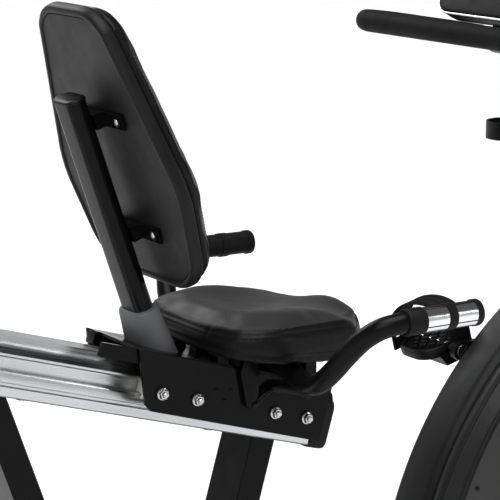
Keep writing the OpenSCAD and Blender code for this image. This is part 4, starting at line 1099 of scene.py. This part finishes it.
def build_console():
    blo, bhi = CONSOLE.box("console_bezel")
    khi = CONSOLE.box("console_back")[1]
    tall = (bhi.z - blo.z) / MM
    deep = (khi.x - blo.x) / MM

    def at(x, y, z):
        return CONSOLE.turn @ (Vector((blo.x, 0, blo.z)) + Vector((x, y, z)) * MM)

    def ring(x, d):
        return [at(x, y, z) for y, z in console_outline(tall, d)]

    split = (bhi.x - blo.x) / MM
    back = [ring(split + x, d) for x, d in ((0, 1.2), (0.4, 0.4), (8, 0.2), (20, 1.5), (30, 5), (36, 10))]
    back += [ring(deep - 4, 17), ring(deep - 0.8, 26), ring(deep, 32)]
    finish_piece(new_piece("console_housing", *loft(back), smooth_angle=60), "root", "black_plastic",
                 black_plastic, "console_back")
    bezel = new_piece("console_face", *loft([ring(x, d) for x, d in (
        (split - 0.3, 1.6), (split - 1, 0.5), (7, 0), (4, 0.4), (1.6, 2), (0.4, 4.5), (0, 8), (0, 14))]),
        smooth_angle=60)
    window = [(-92, 92), (92, 92), (112, 236), (-112, 236)]
    tools = [new_piece("window", *prism(window, 7.5, lambda a, b, c: at(c - 1.5, a, b)))]
    for key in ("key_start", "key_stop", "key_up", "key_down"):
        lo, hi = CONSOLE.box(key)
        y, z, r = (lo.y + hi.y) / 2, (lo.z + hi.z) / 2, (hi.y - lo.y) / 2 + 0.3 * MM
        hole = [(-0.01, r), (0.03, r)]
        tools.append(new_piece("key_hole", *revolve(hole, lambda c, a, b, y=y, z=z: CONSOLE.turn @ Vector(
            (blo.x + c, y + a, z + b)), 40)))
    cut(bezel, *tools)
    sharpen(bezel, 40)
    finish_piece(bezel, "root", "bezel_plastic", bezel_mat, "console_bezel")
    pane = [(-91.5, 92.5), (91.5, 92.5), (111.4, 235.5), (-111.4, 235.5)]
    screen = new_piece("display_pane", *prism(pane, 3.5, lambda a, b, c: at(2.2 + c, a, b), rounding=0.5))
    finish_piece(screen, "root", "screen", glass, "console_screen")
    face = lambda y, z: at(2.0, y, z)
    red = [digit_bars("00", face, 84, 112, 15), digit_bars("0000", face, 46, 112, 15),
           digit_bars("00", face, -50, 112, 15)]
    finish_piece(new_piece("display_digits", *join_parts(red)), "root", "screen", led_red)
    bars = []
    for k in range(12):
        for row in range(1 + (k * 5) % 7):
            y, z = 77 - k * 14, 150 + row * 10
            bars.append(loft(tube_rings([face(y, z), face(y - 10, z)], 1.3 * MM, 6)))
    finish_piece(new_piece("display_profile", *join_parts(bars)), "root", "screen", led_white)
    trim_path = [at(3.2, y, z) for y, z in console_outline(tall, 1.2)]
    count = len(trim_path)
    lower = [trim_path[(i + count - 12) % count] for i in range(24)]
    finish_piece(new_piece("console_trim", *loft(tube_rings(lower, 1.5 * MM, 10))), "root", "chrome", chrome)


# ---- small trim ----

def hex_nut(at, flat, height):
    """A chamfered hexagon nut on its round flange. at(along, a, b) gives a place."""
    def hexagon(r, along):
        return [at(along, r * math.cos(a), r * math.sin(a)) for a in (math.pi * k / 3 for k in range(6))]
    r = flat / math.cos(math.pi / 6)
    flange = revolve([(0, flat + 2.4), (0.8, flat + 2.4), (1.8, flat + 0.9), (2.2, flat - 1)], at, 32)
    body = loft([hexagon(r, 1.0), hexagon(r, height - 1.2), hexagon(r * 0.9, height - 0.2),
                 hexagon(r * 0.62, height), hexagon(r * 0.6, height - 1.5)])
    stud = revolve([(height - 3, 3.9), (height + 3.4, 3.9), (height + 4.2, 3.2), (height + 4.3, 0.6)], at, 24)
    return [flange, body, stud]


def build_bolts():
    """Flange nuts on the carriage plates, dark washers under them, and the backrest's screws."""
    phi = RAIL.box("carriage_plates")[1]
    bolts, washers, studs = [], [], []
    for s, h in PLATE_BOLTS:
        for side in (-1, 1):
            def at(c, a, b, s=s, side=side, h=h):
                return RAIL.turn @ Vector((RAIL_START.x + (s + a) * MM, side * (phi.y + (1.6 + c) * MM),
                                           RAIL_START.z + (h + b) * MM))
            bolts += hex_nut(at, 6.5, 7)
            washers.append(revolve([(-1.6, 11), (-0.3, 11), (0, 10.4), (0, 5)], at, 36))
    blo, bhi = BACK.box("backrest_brackets")
    for z in (blo.z + 11 * MM, bhi.z - 11 * MM):
        for side in (-1, 1):
            def at(c, a, b, z=z, side=side):
                return BACK.turn @ Vector((bhi.x - (3.3 + c) * MM, side * 62 * MM + a * MM, z + b * MM))
            washers.append(revolve([(0, 7.6), (0.7, 7.6), (1.0, 7.2), (1.0, 3)], at, 32))
            studs.append(revolve([(0.9, 4.6), (1.6, 4.5), (2.8, 3.6), (3.3, 2.2), (3.3, 2.0), (2.2, 1.9),
                                  (2.2, 0.4)], at, 24))
    finish_piece(new_piece("flange_nuts", *join_parts(bolts)), "seat", "zinc", zinc, "seat_bolts")
    finish_piece(new_piece("bracket_screws", *join_parts(studs)), "seat", "zinc", zinc)
    finish_piece(new_piece("bolt_washers", *join_parts(washers)), "seat", "zinc", satin)
    rivets = []
    for s, h in ((-205, 62), (-180, 66), (-186, 50)):
        for side in (-1, 1):
            def at(c, a, b, s=s, side=side, h=h):
                return RAIL.turn @ Vector((RAIL_START.x + (s + a) * MM, side * (phi.y + c * MM),
                                           RAIL_START.z + (h + b) * MM))
            rivets.append(revolve([(0, 3.2), (0.5, 3.2), (1.1, 2.5), (1.4, 1.4), (1.5, 0.4)], at, 20))
    finish_piece(new_piece("plate_rivets", *join_parts(rivets)), "seat", "gloss_black", satin)


def darken_panel_screws():
    """The screws of the side panels are black; those under the rail stay bright."""
    mesh = NODES["frame_screws"].data
    mesh.materials.append(satin)
    for f in mesh.polygons:
        if abs(f.center.y) > 0.076:
            f.material_index = len(mesh.materials) - 1


# ---- stage ----

def sky(world):
    """A studio round the part: white low down, dark overhead."""
    tree = world.node_tree
    make, link = tree.nodes.new, tree.links.new
    split = make("ShaderNodeSeparateXYZ")
    link(make("ShaderNodeTexCoord").outputs["Generated"], split.inputs[0])
    ramp = make("ShaderNodeValToRGB")
    stops = ramp.color_ramp.elements
    stops[0].position, stops[0].color = 0.16, (0.6, 0.6, 0.6, 1)
    stops[1].position, stops[1].color = 0.55, (0.14, 0.14, 0.143, 1)
    link(split.outputs["Z"], ramp.inputs["Fac"])
    link(ramp.outputs["Color"], tree.nodes["Background"].inputs["Color"])
    tree.nodes["Background"].inputs["Strength"].default_value = 1.0


def build_stage():
    """Pale floor, soft lights and the camera."""
    size = 40
    mesh = bpy.data.meshes.new("floor")
    corners = [(-size, -size, 0), (size, -size, 0), (size, size, 0), (-size, size, 0)]
    mesh.from_pydata(corners, [], [(0, 1, 2, 3)])
    floor = bpy.data.objects.new("floor", mesh)
    bpy.context.scene.collection.objects.link(floor)
    mesh.materials.append(surface("floor", (0.88, 0.88, 0.88), 0.8, tint=0.01, specular=0.1))
    world = bpy.data.worlds.new("studio")
    bpy.context.scene.world = world
    world.use_nodes = True
    sky(world)
    lamps = [("key", (-2.6, -2.2, 3.0), 1.8, 42), ("side", (3.0, -2.8, 2.0), 1.2, 22),
             ("back", (-0.6, 3.2, 2.8), 2.2, 46)]
    for name, place, wide, power in lamps:
        data = bpy.data.lights.new(name, "AREA")
        data.shape, data.size, data.size_y, data.energy = "RECTANGLE", wide, wide * 0.6, power
        lamp = bpy.data.objects.new(name, data)
        lamp.location = place
        aim_at(lamp, Vector((0, 0, 0.6)) - Vector(place))
        bpy.context.scene.collection.objects.link(lamp)
    data = bpy.data.lights.new("overhead", "SUN")
    data.energy, data.angle = 3.05, math.radians(50)
    lamp = bpy.data.objects.new("overhead", data)
    aim_at(lamp, Vector((0.12, 0.16, -1)))
    bpy.context.scene.collection.objects.link(lamp)
    cam = bpy.data.cameras.new("camera")
    cam.sensor_width, cam.lens = 36, 161.28
    eye = bpy.data.objects.new("camera", cam)
    eye.location = (-1.8398, -2.6953, 1.250)
    turn, down = math.radians(32), math.radians(11.36)
    aim_at(eye, Vector((math.sin(turn) * math.cos(down), math.cos(turn) * math.cos(down), -math.sin(down))))
    bpy.context.scene.collection.objects.link(eye)
    bpy.context.scene.camera = eye
    bpy.context.scene.view_settings.view_transform = "Standard"
    bpy.context.scene.view_settings.gamma = 0.84


def aim_at(obj, direction):
    obj.rotation_mode = "QUATERNION"
    obj.rotation_quaternion = direction.to_track_quat("-Z", "Y")


build_stage()
for material, rounding, names in KEPT:
    for node_name in names:
        keep_node(node_name, material, rounding)
build_seat()
build_backrest()
build_seat_handle()
build_grips()
build_bar_plugs()
build_front_loop()
build_lever()
build_post()
build_rail_caps()
build_pedal(1)
build_pedal(-1)
build_cover()
build_console()
build_bolts()
darken_panel_screws()
